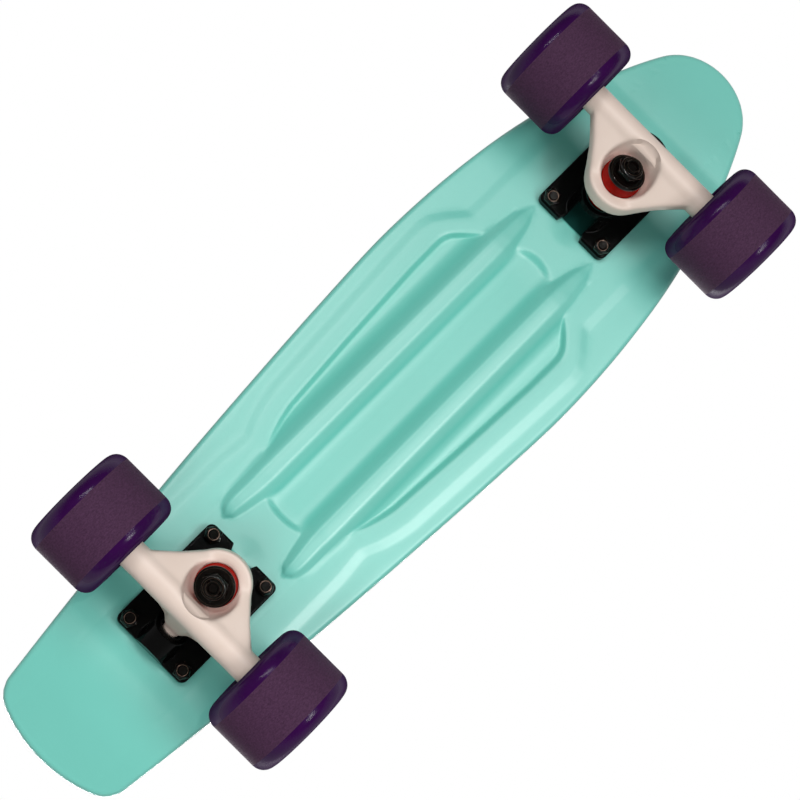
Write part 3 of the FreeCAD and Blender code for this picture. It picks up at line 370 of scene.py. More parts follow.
def moulded_urethane(name, low, high, rough):
    """Moulded plastic with a glossy skin that turns hazy, not white, where it is seen edge on."""
    material, tree, shader = new_material(name)
    place = add_node(tree, "ShaderNodeTexCoord")
    cloud = add_node(
        tree, "ShaderNodeTexNoise", Vector=(place, "Object"), Scale=per_mm(LIP_CLOUD_MM), Detail=2.0)
    colour = add_node(tree, "ShaderNodeMix", COLOUR_MIX, Factor=(cloud, "Fac"), A=srgb(low), B=srgb(high))
    edge = add_node(tree, "ShaderNodeLayerWeight", Blend=0.5)
    haze = add_node(
        tree, "ShaderNodeMapRange", Value=(edge, "Facing"),
        From_Min=HAZE_FROM, From_Max=HAZE_TO, To_Min=rough, To_Max=1.0)
    ripple = add_node(
        tree, "ShaderNodeTexNoise", Vector=(place, "Object"), Scale=per_mm(RIPPLE_MM), Detail=1.0)
    bump = add_node(tree, "ShaderNodeBump", Height=(ripple, "Fac"), Strength=0.05, Distance=RIPPLE_DEPTH)
    wire(
        tree, shader, Base_Color=(colour, "Result"), Roughness=(haze, 0), Normal=(bump, 0),
        IOR=1.4, Specular_IOR_Level=0.2)
    return material


def ground_urethane():
    """The tread: matt, paler than the lips, and flecked by the grinding stone."""
    material, tree, shader = new_material("purple_ground_tread")
    place = add_node(tree, "ShaderNodeTexCoord")
    squash = add_node(
        tree, "ShaderNodeMapping", Vector=(place, "Object"), Scale=(1.0, SCRATCH_ASPECT, 1.0))
    scratch = add_node(
        tree, "ShaderNodeTexNoise", Vector=(squash, 0), Scale=per_mm(SCRATCH_MM), Detail=3.0, Roughness=0.8)
    colour = add_node(
        tree, "ShaderNodeMix", COLOUR_MIX, Factor=(scratch, "Fac"), A=srgb("#180716"), B=srgb("#603E5D"))
    bump = add_node(tree, "ShaderNodeBump", Height=(scratch, "Fac"), Strength=0.35, Distance=SKIN_DEPTH)
    wire(
        tree, shader, Base_Color=(colour, "Result"), Normal=(bump, 0), Roughness=0.82,
        Specular_IOR_Level=0.2)
    return material


# The lips look wet and almost black, with one clear streak of light.
purple_lip = moulded_urethane("purple_moulded_urethane", "#2A0A3A", "#380E48", 0.17)
purple_tread = ground_urethane()

# %% [markdown]
# The bushings are clear red urethane. Light goes a few millimetres in and comes back red, so the
# recipe above gets a little subsurface light and loses most of its mirror share. Nylon is moulded
# too: black in the pivot cups and the colour of bone in the bearing cages.

# %% Bushings, cups and cages
# Its colour clouds at random from near black to bright red: partly the depth of the clear urethane, partly
# painted glints.
red_bushing = moulded_urethane("red_clear_urethane", "#200000", "#E01C0E", 0.07)
wire(
    red_bushing.node_tree, red_bushing.node_tree.nodes["Principled BSDF"],
    Subsurface_Weight=0.15, Subsurface_Scale=0.004, Specular_IOR_Level=0.08)
cup_plastic = moulded_urethane("black_nylon_cup", "#131314", "#1B1B1C", 0.4)
nylon = moulded_urethane("natural_nylon", "#D8D2BE", "#E2DDCB", 0.45)

# %% [markdown]
# Bare steel is a metal, so its colour is the colour of its reflections. It is turned or ground, and
# its very fine lines show as highlights that break up and spread a little.

# %% Steel
LINES_MM = 0.8   # real tool marks are about 0.1 mm; drawn coarser so that they show


def turned_steel(name, low, high, rough):
    """Bare steel whose roughness is broken by fine lines."""
    material, tree, shader = new_material(name)
    place = add_node(tree, "ShaderNodeTexCoord")
    lines = add_node(
        tree, "ShaderNodeTexNoise", Vector=(place, "Object"), Scale=per_mm(LINES_MM), Detail=5.0)
    colour = add_node(tree, "ShaderNodeMix", COLOUR_MIX, Factor=(lines, "Fac"), A=srgb(low), B=srgb(high))
    spread = add_node(
        tree, "ShaderNodeMapRange", Value=(lines, "Fac"), To_Min=rough * 0.8, To_Max=rough * 1.25)
    wire(tree, shader, Metallic=1.0, Base_Color=(colour, "Result"), Roughness=(spread, 0))
    return material


# Axles and bearing rings: bright, with a tight highlight.
ground_steel = turned_steel("ground_steel", "#B4B5B8", "#CBCCCE", 0.25)
# Bearing shields: a little darker and duller than ground steel.
pressed_steel = turned_steel("pressed_steel", "#A3A4A6", "#B9BABC", 0.34)
# Narrow edges where the black plating has worn thin, drawn in brown grey metal that shows as painted
# glints: partly real worn plating, partly painted highlight.
rim_glint_steel = turned_steel("steel_with_painted_glints_at_the_edges", "#2E231F", "#65544B", 0.24)

# %% [markdown]
# The deck is one injection moulding. Its underside is a height map that a toolmaker would cut: a
# plain board that curves up at both ends, a proud platform, two long ribs, two pockets and a sunk
# panel. Sculpting could make it, but every wall here has a size. So the mesh is a grid laid inside
# the outline, with its long lines steered along every rib and wall, and each point is lowered or
# raised by a function of its place. The sizes come first, those of the plates from the frame.

# %% Deck sizes, in millimetres
deck_low, deck_high = [corner / MM for corner in map(Vector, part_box("deck"))]
HALF_LENGTH = deck_high.x
HALF_WIDTH = deck_high.y
plate_boxes = {end: [Vector(c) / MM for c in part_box(end + "_baseplate")] for end in ("front", "rear")}
TRUCK_X = {end: (low.x + high.x) / 2 for end, (low, high) in plate_boxes.items()}
PLATE_HALF = (plate_boxes["front"][1].x - plate_boxes["front"][0].x) / 2
MOUNT_Z = plate_boxes["front"][1].z
RIM_THICKNESS = 10.8
PLATFORM_HEIGHT = 1.2
RIM_Z = MOUNT_Z + PLATFORM_HEIGHT
TOP_Z = RIM_Z + RIM_THICKNESS
TAIL_BEND_START, TAIL_BEND_RADIUS, TAIL_KICK = -219.0, 130.0, math.radians(18.0)
NOSE_BEND_START, NOSE_BEND_RADIUS = 232.0, 300.0
NOSE_RADIUS, NOSE_SWEEP = 38.5, math.radians(64.0)
TAIL_END_RADIUS, TAIL_CORNER_RADIUS, TAIL_CORNER_Y, TAIL_SLOPE = 95.0, 17.0, 28.4, math.radians(7.2)
SIDE_STATIONS = [
    (-0.738, 0.695), (-0.461, 0.814), (-0.185, 0.906), (0.022, 0.963),
    (0.230, 1.000), (0.437, 0.960), (0.575, 0.888), (0.713, 0.765)]
RIM_ROUND = 3.0
TOP_ROUND = 2.0
print("mount face", round(MOUNT_Z, 2), "trucks at", TRUCK_X)

# %% [markdown]
# The outline is a round nose, a squarer tail with two small corners, and one long smooth side
# between them. The ends are arcs. The side is a cubic through a few stations, so it has no kinks,
# and its slope meets each arc's.

# %% Deck outline: half width at any place between the two round ends
NOSE_CENTRE = HALF_LENGTH - NOSE_RADIUS
TAIL_CENTRE = deck_low.x + TAIL_END_RADIUS
TAIL_CORNER_X = TAIL_CENTRE - math.sqrt((TAIL_END_RADIUS - TAIL_CORNER_RADIUS) ** 2 - TAIL_CORNER_Y ** 2)


def side_knots():
    """Knots (x, half width, slope) of the side curve, from tail to nose."""
    tail_x = TAIL_CORNER_X - TAIL_CORNER_RADIUS * math.sin(TAIL_SLOPE)
    tail_y = TAIL_CORNER_Y + TAIL_CORNER_RADIUS * math.cos(TAIL_SLOPE)
    nose_x = NOSE_CENTRE + NOSE_RADIUS * math.cos(NOSE_SWEEP)
    nose_y = NOSE_RADIUS * math.sin(NOSE_SWEEP)
    points = [(tail_x, tail_y)]
    points += [(a * HALF_LENGTH, b * HALF_WIDTH) for a, b in SIDE_STATIONS]
    points.append((nose_x, nose_y))
    slopes = [math.tan(TAIL_SLOPE)]
    for before, here, after in zip(points, points[1:], points[2:]):
        near = (here[1] - before[1]) / (here[0] - before[0])
        far = (after[1] - here[1]) / (after[0] - here[0])
        share = (here[0] - before[0]) / (after[0] - before[0])
        slopes.append(near * (1 - share) + far * share)
    slopes.append(-1 / math.tan(NOSE_SWEEP))
    return [(x, y, slope) for (x, y), slope in zip(points, slopes)]


KNOTS = side_knots()


def half_width(x):
    """Half width and slope of the outline at x, by a cubic between knots."""
    x = min(max(x, KNOTS[0][0]), KNOTS[-1][0])
    for (x0, y0, m0), (x1, y1, m1) in zip(KNOTS, KNOTS[1:]):
        if x <= x1:
            break
    run = x1 - x0
    t = (x - x0) / run
    height = (2 * t ** 3 - 3 * t ** 2 + 1) * y0 + (t ** 3 - 2 * t ** 2 + t) * run * m0
    height += (3 * t ** 2 - 2 * t ** 3) * y1 + (t ** 3 - t ** 2) * run * m1
    slope = (6 * t ** 2 - 6 * t) * (y0 - y1) / run
    slope += (3 * t ** 2 - 4 * t + 1) * m0 + (3 * t ** 2 - 2 * t) * m1
    return height, slope


def inset_width(x, inset):
    """Half width of a line that runs inside the outline, inset away from it."""
    height, slope = half_width(x)
    return height - inset * math.sqrt(1 + slope * slope)


print("half width in the middle", round(half_width(0)[0], 1))

# %% [markdown]
# Seen from the side, the board is flat between the trucks, kicks up at the tail and lifts a little
# at the nose. Both bends are arcs. The top face bends on a smaller radius than the underside, so
# the board keeps its thickness.

# %% Deck side view: how far the plain board has risen at x
def rise(x, drop=0.0):
    """Rise of a face that lies drop above the lowest one, kicked tail and lifted nose."""
    if x < TAIL_BEND_START:
        run, radius = TAIL_BEND_START - x, TAIL_BEND_RADIUS - drop
        bend = radius * math.sin(TAIL_KICK)
        if run <= bend:
            return radius - math.sqrt(radius * radius - run * run)
        return radius * (1 - math.cos(TAIL_KICK)) + (run - bend) * math.tan(TAIL_KICK)
    if x > NOSE_BEND_START:
        run, radius = x - NOSE_BEND_START, NOSE_BEND_RADIUS - drop
        return radius - math.sqrt(radius * radius - run * run)
    return 0.0


print("tail tip rises", round(rise(deck_low.x), 1), "and nose tip", round(rise(deck_high.x), 1))

# %% [markdown]
# The walls of a moulding lean, so that it leaves its mould, and their feet and shoulders are
# rounded. A wall's line and a rib's height change along the board, so each is a short list of
# places with a value at each, read with its corners rounded.

# %% Soft steps, and values that change along the board
def ease(value):
    """0 to 1 with a soft foot and a soft shoulder, as a moulded wall has."""
    t = min(max(value, 0.0), 1.0)
    return t * t * (3 - 2 * t)


def along(points, x):
    """A value that runs straight from one (x, value) point to the next."""
    if x <= points[0][0]:
        return points[0][1]
    for (x0, y0), (x1, y1) in zip(points, points[1:]):
        if x <= x1:
            t = (x - x0) / (x1 - x0)
            return y0 + (y1 - y0) * t
    return points[-1][1]


def rounded(points, x, reach=2.0):
    """The same run with its corners rounded, by averaging a little way each side."""
    steps = (-1.0, -0.6, -0.2, 0.2, 0.6, 1.0)
    return sum(along(points, x + step * reach) for step in steps) / len(steps)


def ramp(value, ends=0.12):
    """0 to 1 in a straight slope whose two ends are rounded off."""
    t = min(max(value, 0.0), 1.0)
    if t < ends:
        return t * t / (2 * ends * (1 - ends))
    if t > 1 - ends:
        return 1 - (1 - t) ** 2 / (2 * ends * (1 - ends))
    return (t - ends / 2) / (1 - ends)


print("a quarter of the way up, ease gives", ease(0.25), "and ramp", round(ramp(0.25), 3))

# %% [markdown]
# Now the sizes of the relief. The ribs are rounded bars that fade out at both ends. The pockets
# lie outside them and the panel between them, each with a soft skirt where its floor meets a rib.
# The platform is the broad proud face that holds them all, and two shallow dishes mark its ends.

# %% Underside sizes, in millimetres
RIB_HEIGHT, RIB_FLAT, RIB_ROUND, RIB_SLOPE = 4.0, 2.5, 6.5, math.radians(35)
RIB_MIDDLE = [
    (-121.8, 23.9), (-115, 24.7), (-110, 24.5), (-97, 23.6), (106, 23.6), (120, 23.8), (142, 24.2)]
RIB_SHARE = [   # of the full width
    (-122.4, 0.0), (-122, 0.20), (-121, 0.36), (-118, 0.56), (-115, 0.66), (-110, 0.76), (-105, 0.82),
    (-97, 0.91), (-88, 1.0), (100, 1.0), (106, 0.98), (113, 0.90), (120, 0.77), (125, 0.67),
    (130, 0.54), (134, 0.36), (137, 0.20), (139, 0.06), (140, 0.0)]
RIB_FOOT, RIB_REACH = 11.2, 14
RIB_FADE_TAIL, RIB_FADE_NOSE = 0.8, 1.7   # powers of the share that set the height at each end
FOOT_BLEND = 0.4                          # how softly a rib's side runs into the face beside it
UNDER_RIB, FAR_BELOW = 4, -20.0           # how far a sunk floor runs under a rib; a rib that isn't there
POCKET_DEPTH, POCKET_SLOPE, POCKET_SKIRT = 3.5, 4.0, (2.8, 9.5)
PANEL_DEPTH, PANEL_SKIRT = 2.1, (1.3, 8.4)
PANEL_TAIL, PANEL_TAIL_SLOPE, PANEL_TAIL_BOW = -98.0, 3.2, 1.5
PANEL_NOSE, PANEL_NOSE_SLOPE, PANEL_NOSE_BOW = 114.5, 4.5, 3.0
PLATFORM_SLOPE = 7.5
PLATFORM_EDGE = [
    (-100, 44.8), (-84, 43.2), (-80.5, 43.4), (-70, 48.0), (-60, 50.9), (-50, 52.9), (0, 56.0), (75, 60.4),
    (82, 60.4), (89, 58.8), (97, 53.9), (103, 49.0), (108.5, 44.7), (112, 44.5)]
POCKET_EDGE = [
    (-83, 32.6), (-75, 36.6), (-70, 38.6), (-60, 41.6), (-50, 43.7), (0, 47.4), (60, 50.8), (80, 51.2),
    (85, 51.0), (90, 49.4), (95, 45.3), (100, 40.2), (107, 33.2)]
END_GAP, END_SLOPE = {"rear": 2.0, "front": 4.5}, {"rear": 14.0, "front": 8.0}
DISHES, DISH_RADIUS, DISH_DEPTH = (-131.0, 146.0), 11.5, 0.8
print("ribs", RIB_HEIGHT, "pockets", POCKET_DEPTH, "panel", PANEL_DEPTH, "platform", PLATFORM_HEIGHT)

# %% Deck underside
def crown(distance):
    """How far a rib's rounded side has fallen at a distance from its middle line."""
    over = max(distance - RIB_FLAT, 0.0)
    turn = RIB_ROUND * math.sin(RIB_SLOPE)
    if over < turn:
        return RIB_ROUND - math.sqrt(RIB_ROUND ** 2 - over ** 2)
    return RIB_ROUND * (1 - math.cos(RIB_SLOPE)) + (over - turn) * math.tan(RIB_SLOPE)


def skirt(distance, size):
    """The soft fillet that a sunk floor has beside a rib."""
    height, run = size
    return height * (1 - distance / run) ** 2 if 0 <= distance < run else height * (distance < 0)


def pocket_depth(x, side):
    """0 outside a side pocket's wall, 1 on its floor."""
    return ease((rounded(POCKET_EDGE, x, 1.5) - side) / POCKET_SLOPE)


def platform_step(x, side):
    """0 at the top of the platform's sloping wall, 1 at its foot."""
    return (side - rounded(PLATFORM_EDGE, x, 1.2)) / PLATFORM_SLOPE


def underside(x, y):
    """Height of the underside at (x, y)."""
    side = abs(y)
    middle, share = along(RIB_MIDDLE, x), rounded(RIB_SHARE, x, 1.0)
    proud = -PLATFORM_HEIGHT * ramp(platform_step(x, side))
    for end, sign in (("rear", -1), ("front", 1)):
        over = sign * (x - TRUCK_X[end]) - PLATE_HALF
        proud = min(proud, -PLATFORM_HEIGHT * ease((over - END_GAP[end]) / END_SLOPE[end]))
    outer, inner = side - middle - RIB_FOOT, middle - RIB_FOOT - side
    if outer > -UNDER_RIB:
        proud -= pocket_depth(x, side) * (POCKET_DEPTH - skirt(outer, POCKET_SKIRT))
    if inner > -UNDER_RIB:
        bow = 1 - (side / RIB_FOOT) ** 2
        tail = ease((x + bow * PANEL_TAIL_BOW - PANEL_TAIL) / PANEL_TAIL_SLOPE + 0.5)
        nose = ease((PANEL_NOSE + bow * PANEL_NOSE_BOW - x) / PANEL_NOSE_SLOPE + 0.5)
        proud -= tail * nose * (PANEL_DEPTH - skirt(inner, PANEL_SKIRT))
    distance, rib = abs(side - middle), FAR_BELOW
    if distance < RIB_REACH * share:
        fade = share ** (RIB_FADE_TAIL if x < 0 else RIB_FADE_NOSE)
        rib = (RIB_HEIGHT - crown(distance / share)) * fade
    blend = math.sqrt((rib - proud) ** 2 + FOOT_BLEND ** 2)
    proud = (rib + proud + blend) / 2
    for centre in DISHES:
        reach = math.hypot(x - centre, y)
        if reach < DISH_RADIUS:
            proud -= DISH_DEPTH * (1 - reach / DISH_RADIUS)
    return RIM_Z + rise(x) - PLATFORM_HEIGHT - proud


print("middle of the panel", round(underside(0, 0), 2), "crest of a rib", round(underside(0, 23.6), 2))

# %% [markdown]
# The map of painted light follows the same sizes. A painted shadow darkens the skin beneath each plate. The
# rest was judged, not measured on a board: painted shade lowers the sheen at the feet of the ribs, over the
# panel and on the flank of each rib that faces away from the stronger lamp, while painted highlights make
# the shoulders and the platform edge that faces that lamp a little shinier.

# %% Map of painted shadow, shade and sheen
PLATE_SHADOW_LINE, PLATE_SHADOW_FADE = 2.4, 1.2                # how far in from a plate's edge the painted shadow starts
# Painted shade on the sheen, and painted sheen, each as a share of the map.
CORNER_SHADE, FLANK_SHADE, PANEL_SHADE = 0.36, 0.22, 0.08
CORNER_SHADE_LIT_SIDE, SHOULDER_SHEEN, EDGE_SHEEN = 0.42, 0.11, 0.13
CORNER_OUT, CORNER_IN, CORNER_SPREAD_LIT_SIDE = 4.0, 2.2, 1.5   # how far a corner's painted shade spreads
FADE_TAIL, FADE_NOSE = 8, 20


def between(value, low, high, soft_low, soft_high):
    """1 between low and high, falling softly to 0 over the given widths."""
    return ease((value - low) / soft_low) * ease((high - value) / soft_high)


def painted_shade_and_sheen(x, y):
    """0 on plain skin, 1 under a plate as painted shadow, about 0.3 as painted shade in corners, and below
    0 as painted sheen on edges.
    """
    side = abs(y)
    # Painted shadow: the skin under each plate darkens, from a little way in from its edge.
    for low, high in plate_boxes.values():
        inside = min(x - low.x, high.x - x, high.y - side)
        if inside > 0:
            return ease((inside - PLATE_SHADOW_LINE) / PLATE_SHADOW_FADE)
    middle, share = along(RIB_MIDDLE, x), rounded(RIB_SHARE, x, 1.0)
    across = (side - middle) * math.copysign(1, y)
    foot = abs(across) - (RIB_FOOT - 0.3) * share
    sunk = pocket_depth(x, side) if side > middle else 1.0
    sunk *= between(x, PANEL_TAIL, PANEL_NOSE, FADE_TAIL, FADE_NOSE) * share ** 2
    # Painted sheen: the rib shoulders, and on the +Y side the platform edge, get negative values.
    shoulder = SHOULDER_SHEEN * between(across, -2.5, 8.0, 1.5, 2.5) * share
    panel = PANEL_SHADE * (side < middle)
    # Painted shade: the feet of the ribs, the panel and the rib flank facing -Y, away from the stronger
    # lamp, get positive values.
    if across < 0:
        spread = CORNER_OUT if foot > 0 else CORNER_IN
        corner = CORNER_SHADE * math.exp(-(foot / spread) ** 2)
        flank = FLANK_SHADE * ease((-across - 5.5) / 2) * ease(-foot / 1.5 + 1)
        return max(corner, flank, panel) * sunk - shoulder
    corner = CORNER_SHADE_LIT_SIDE * math.exp(-(foot / CORNER_SPREAD_LIT_SIDE) ** 2)
    edge = EDGE_SHEEN * between(platform_step(x, y), 0, 1, 0.2, 0.2) * (abs(x) < HALF_LENGTH / 2)
    return max(corner, panel) * sunk - shoulder - edge


print("wear under a plate", painted_shade_and_sheen(TRUCK_X["rear"], 0), "beside a rib", round(painted_shade_and_sheen(0, -13), 2))

# %% [markdown]
# The top is plainer. A sunk field holds the anti-slip grid, with a plain rim round it and a plain
# pad over each truck, where the bolts come through.

# %% Deck top: a sunk field for the anti-slip grid, with a plain rim and plain bolt pads
FIELD_DEPTH, FIELD_MARGIN, FIELD_SLOPE = 0.9, 7.0, 1.6
PAD_DEPTH, PAD_HALF_X, PAD_HALF_Y, PAD_SLOPE = 0.4, 41.0, 28.0, 1.5
NO_END = 99.0   # a distance past any margin, away from the round ends


def margin(x, y):
    """Distance in from the outline, near enough for the field's edge."""
    if x > NOSE_CENTRE:
        return NOSE_RADIUS - math.hypot(x - NOSE_CENTRE, y)
    end = TAIL_END_RADIUS - math.hypot(x - TAIL_CENTRE, y) if x < TAIL_CENTRE else NO_END
    height, slope = half_width(x)
    return min(end, (height - abs(y)) / math.sqrt(1 + slope * slope))


def pad(x, y):
    """1 on the plain pads round the truck bolts, 0 elsewhere."""
    best = 0.0
    for truck_x in TRUCK_X.values():
        reach = max(abs(x - truck_x) - PAD_HALF_X, abs(y) - PAD_HALF_Y)
        best = max(best, 1 - ease(reach / PAD_SLOPE + 1))
    return best


def topside(x, y):
    """Height of the top face at (x, y)."""
    field = ease((margin(x, y) - FIELD_MARGIN) / FIELD_SLOPE)
    depth = FIELD_DEPTH + (PAD_DEPTH - FIELD_DEPTH) * pad(x, y)
    return TOP_Z + rise(x, RIM_THICKNESS) - depth * field


print("thickness in the middle", round(topside(0, 0) - underside(0, 0), 2))

# %% [markdown]
# A square grid would cut every wall into steps. This one's long lines follow the feet and crests
# of the walls instead, closer together where the surface turns. Its cross lines are straight in
# the body and bend into the round ends.

# %% Deck grid: long lines follow the walls, cross lines bend into the round ends
BODY_START, BODY_END = -222.0, 236.0
TAIL_COLUMNS, BODY_COLUMNS, NOSE_COLUMNS = 30, 306, 26
COLUMNS = TAIL_COLUMNS + BODY_COLUMNS + NOSE_COLUMNS
ROWS_BETWEEN = (3, 6, 4, 4, 3, 4, 4, 6, 4, 3, 5, 3)   # rows from each rail to the next
HALF_ROWS = sum(ROWS_BETWEEN)
RAIL_GAP, SMALLEST_SHARE, RIB_HALFWAY = 0.9, 0.25, 6.2


def rails(x):
    """Distances from the centre line of the walls' feet and crests, in rising order."""
    middle, share = along(RIB_MIDDLE, x), max(rounded(RIB_SHARE, x, 1.0), SMALLEST_SHARE)
    pocket = rounded(POCKET_EDGE, x, 1.5)
    edge = rounded(PLATFORM_EDGE, x)
    over_rib = (-RIB_FOOT, -RIB_HALFWAY, -RIB_FLAT, RIB_FLAT, RIB_HALFWAY, RIB_FOOT)
    wanted = [0.0, middle - RIB_FOOT - PANEL_SKIRT[1]] + [middle + reach * share for reach in over_rib]
    wanted += [pocket - POCKET_SLOPE, pocket, edge, edge + PLATFORM_SLOPE, inset_width(x, RIM_ROUND)]
    for place in range(len(wanted) - 2, 0, -1):
        wanted[place] = min(wanted[place], wanted[place + 1] - RAIL_GAP)
    for place in range(1, len(wanted) - 1):
        wanted[place] = max(wanted[place], wanted[place - 1] + RAIL_GAP)
    return wanted


def row_share(row, lines):
    """Distance from the centre line of a numbered row."""
    left = row
    for (near, far), count in zip(zip(lines, lines[1:]), ROWS_BETWEEN):
        if left <= count:
            return near + (far - near) * left / count
        left -= count
    return lines[-1]


def nose_end(share):
    """A point on the nose's end line, an arc drawn in by the rim's rounding."""
    turn = share * NOSE_SWEEP
    radius = NOSE_RADIUS - RIM_ROUND
    return NOSE_CENTRE + radius * math.cos(turn), radius * math.sin(turn)


def tail_end(share):
    """A point on the tail's end line, arcs drawn in by the rim's rounding."""
    size, sign = abs(share), 1 if share >= 0 else -1
    split = math.atan2(TAIL_CORNER_Y, TAIL_CENTRE - TAIL_CORNER_X)
    arc = TAIL_END_RADIUS * split
    corner_turn = math.pi / 2 - split - TAIL_SLOPE
    whole = arc + TAIL_CORNER_RADIUS * corner_turn
    if size * whole <= arc:
        turn = size * whole / TAIL_END_RADIUS
        radius = TAIL_END_RADIUS - RIM_ROUND
        return TAIL_CENTRE - radius * math.cos(turn), sign * radius * math.sin(turn)
    turn = split + (size * whole - arc) / TAIL_CORNER_RADIUS
    radius = TAIL_CORNER_RADIUS - RIM_ROUND
    return TAIL_CORNER_X - radius * math.cos(turn), sign * (TAIL_CORNER_Y + radius * math.sin(turn))


def end_zone(start_x, end_point, step, share):
    """A point between a straight cross line and a rounded end line."""
    end_x, end_y = end_point(share)
    corner_x, corner_y = end_point(1.0)
    side_x = start_x + step * (corner_x - start_x)
    x = start_x + step * (end_x - start_x)
    y = share * inset_width(side_x, RIM_ROUND) + step ** 2 * (end_y - share * corner_y)
    return x, y


def grid_point(column, row):
    """Where a numbered point of the grid lies in plan."""
    sign, past_body = 1 if row >= 0 else -1, column - TAIL_COLUMNS - BODY_COLUMNS
    if column < TAIL_COLUMNS:
        share = row_share(abs(row), rails(BODY_START)) / inset_width(BODY_START, RIM_ROUND)
        return end_zone(BODY_START, tail_end, 1 - column / TAIL_COLUMNS, sign * share)
    if past_body > 0:
        share = row_share(abs(row), rails(BODY_END)) / inset_width(BODY_END, RIM_ROUND)
        return end_zone(BODY_END, nose_end, past_body / NOSE_COLUMNS, sign * share)
    x = BODY_START + (BODY_END - BODY_START) * (column - TAIL_COLUMNS) / BODY_COLUMNS
    return x, sign * row_share(abs(row), rails(x))


ROWS = range(-HALF_ROWS, HALF_ROWS + 1)
PLACES = {(column, row): grid_point(column, row) for column in range(COLUMNS + 1) for row in ROWS}
print("deck grid", COLUMNS, "by", 2 * HALF_ROWS)

# %% [markdown]
# The underside's grid is laid first, and its border is drawn out step by step into the rim, as a
# bead that rounds one edge, stands up the side and rounds the other. The top's grid then closes it.

# %% Deck mesh: two faces, then the rounded rim drawn out between them
TOUCH, TAIL_ARC_COSINE = 0.01, 0.93   # slack where two outlines meet; where the tail's end arc stops


def lay_grid(bm, height):
    """A grid of the deck's plan, each point set to a height function; gives its corners."""
    made = bmesh.ops.create_grid(bm, x_segments=COLUMNS, y_segments=2 * HALF_ROWS, size=1.0)["verts"]
    for vert in made:
        column = round((vert.co.x + 1) / 2 * COLUMNS)
        row = round(vert.co.y * HALF_ROWS)
        x, y = PLACES[column, row]
        vert.co = (x * MM, y * MM, height(x, y) * MM)
    return made


def outward(x, y):
    """Direction straight out of the outline from a point on its rounding line."""
    corner_end = TAIL_CORNER_X - (TAIL_CORNER_RADIUS - RIM_ROUND) * math.sin(TAIL_SLOPE)
    if x > NOSE_CENTRE + (NOSE_RADIUS - RIM_ROUND) * math.cos(NOSE_SWEEP) - TOUCH:
        return Vector((x - NOSE_CENTRE, y, 0)).normalized()
    if abs(y) > TAIL_CORNER_Y and x < corner_end + TOUCH:
        return Vector((x - TAIL_CORNER_X, y - math.copysign(TAIL_CORNER_Y, y), 0)).normalized()
    if x < TAIL_CENTRE - (TAIL_END_RADIUS - RIM_ROUND) * TAIL_ARC_COSINE:
        return Vector((x - TAIL_CENTRE, y, 0)).normalized()
    slope = half_width(x)[1]
    return Vector((-slope, math.copysign(1, y), 0)).normalized()


def rim_steps():
    """(out, share of thickness, up) steps round the rim, from the underside to the top."""
    steps = []
    for turn in (22.5, 45, 67.5, 90):
        angle = math.radians(turn)
        steps.append((RIM_ROUND * math.sin(angle), 0.0, RIM_ROUND * (1 - math.cos(angle))))
    for turn in (0, 30, 60, 90):
        angle = math.radians(turn)
        out, down = TOP_ROUND * math.cos(angle), TOP_ROUND * (1 - math.sin(angle))
        steps.append((RIM_ROUND - TOP_ROUND + out, 1.0, -down))
    return steps


def deck_shell():
    """The whole moulding as one closed shell, with its map of painted shade and sheen."""
    bm = bmesh.new()
    lay_grid(bm, underside)
    ring = [edge for edge in bm.edges if edge.is_boundary]
    base = {}
    for vert in {v for edge in ring for v in edge.verts}:
        x, y = vert.co.x / MM, vert.co.y / MM
        base[vert] = (x, y, outward(x, y), vert.co.z / MM, topside(x, y))
    for out, share, up in rim_steps() + [(0.0, 1.0, 0.0)]:
        made = bmesh.ops.extrude_edge_only(bm, edges=ring)["geom"]
        ring, moved = edges_in(made), {}
        for vert in verts_in(made):
            source = next(e.other_vert(vert) for e in vert.link_edges if e.other_vert(vert) in base)
            x, y, way, low, high = moved[vert] = base[source]
            vert.co = Vector((x, y, low + (high - low) * share + up)) * MM + way * out * MM
        base = moved
    lay_grid(bm, topside)
    bmesh.ops.remove_doubles(bm, verts=bm.verts, dist=0.02 * MM)
    bmesh.ops.recalc_face_normals(bm, faces=bm.faces)
    # The map of painted shadow, shade and sheen goes on the underside's points.
    layer = bm.verts.layers.float.new("painted_shade_and_sheen")
    for vert in bm.verts:
        if vert.co.z < (RIM_Z + TOP_Z) / 2 * MM:
            vert[layer] = painted_shade_and_sheen(vert.co.x / MM, vert.co.y / MM)
    open_edges = sum(1 for edge in bm.edges if not edge.is_manifold)
    print("deck shell open edges", open_edges, "volume cm3", round(bm.calc_volume() / MM ** 3 / 1000, 1))
    return bm


# %% [markdown]
# The anti-slip grid is a field of small square studs. One stud is made, then copied over the sunk
# field wherever all of it fits, and each copy is lifted to the board's own curve.

# %% Anti-slip studs
STUD_PITCH, STUD_HALF, STUD_BEVEL, STUD_ROOT = 8.0, 3.1, 0.6, 0.3
STUDS_ACROSS, STUDS_ALONG = range(-9, 10), range(-36, 37)
STUD_CLEAR, FIELD_CLEAR, BELOW_RIM = 0.8, 1.2, 0.02


def repeated(bm, matrices):
    """A copy of all that a bmesh holds at each matrix, in place of the first."""
    first = whole(bm)
    for matrix in matrices:
        copied = verts_in(bmesh.ops.duplicate(bm, geom=first)["geom"])
        bmesh.ops.transform(bm, matrix=matrix, verts=copied)
    bmesh.ops.delete(bm, geom=verts_in(first))


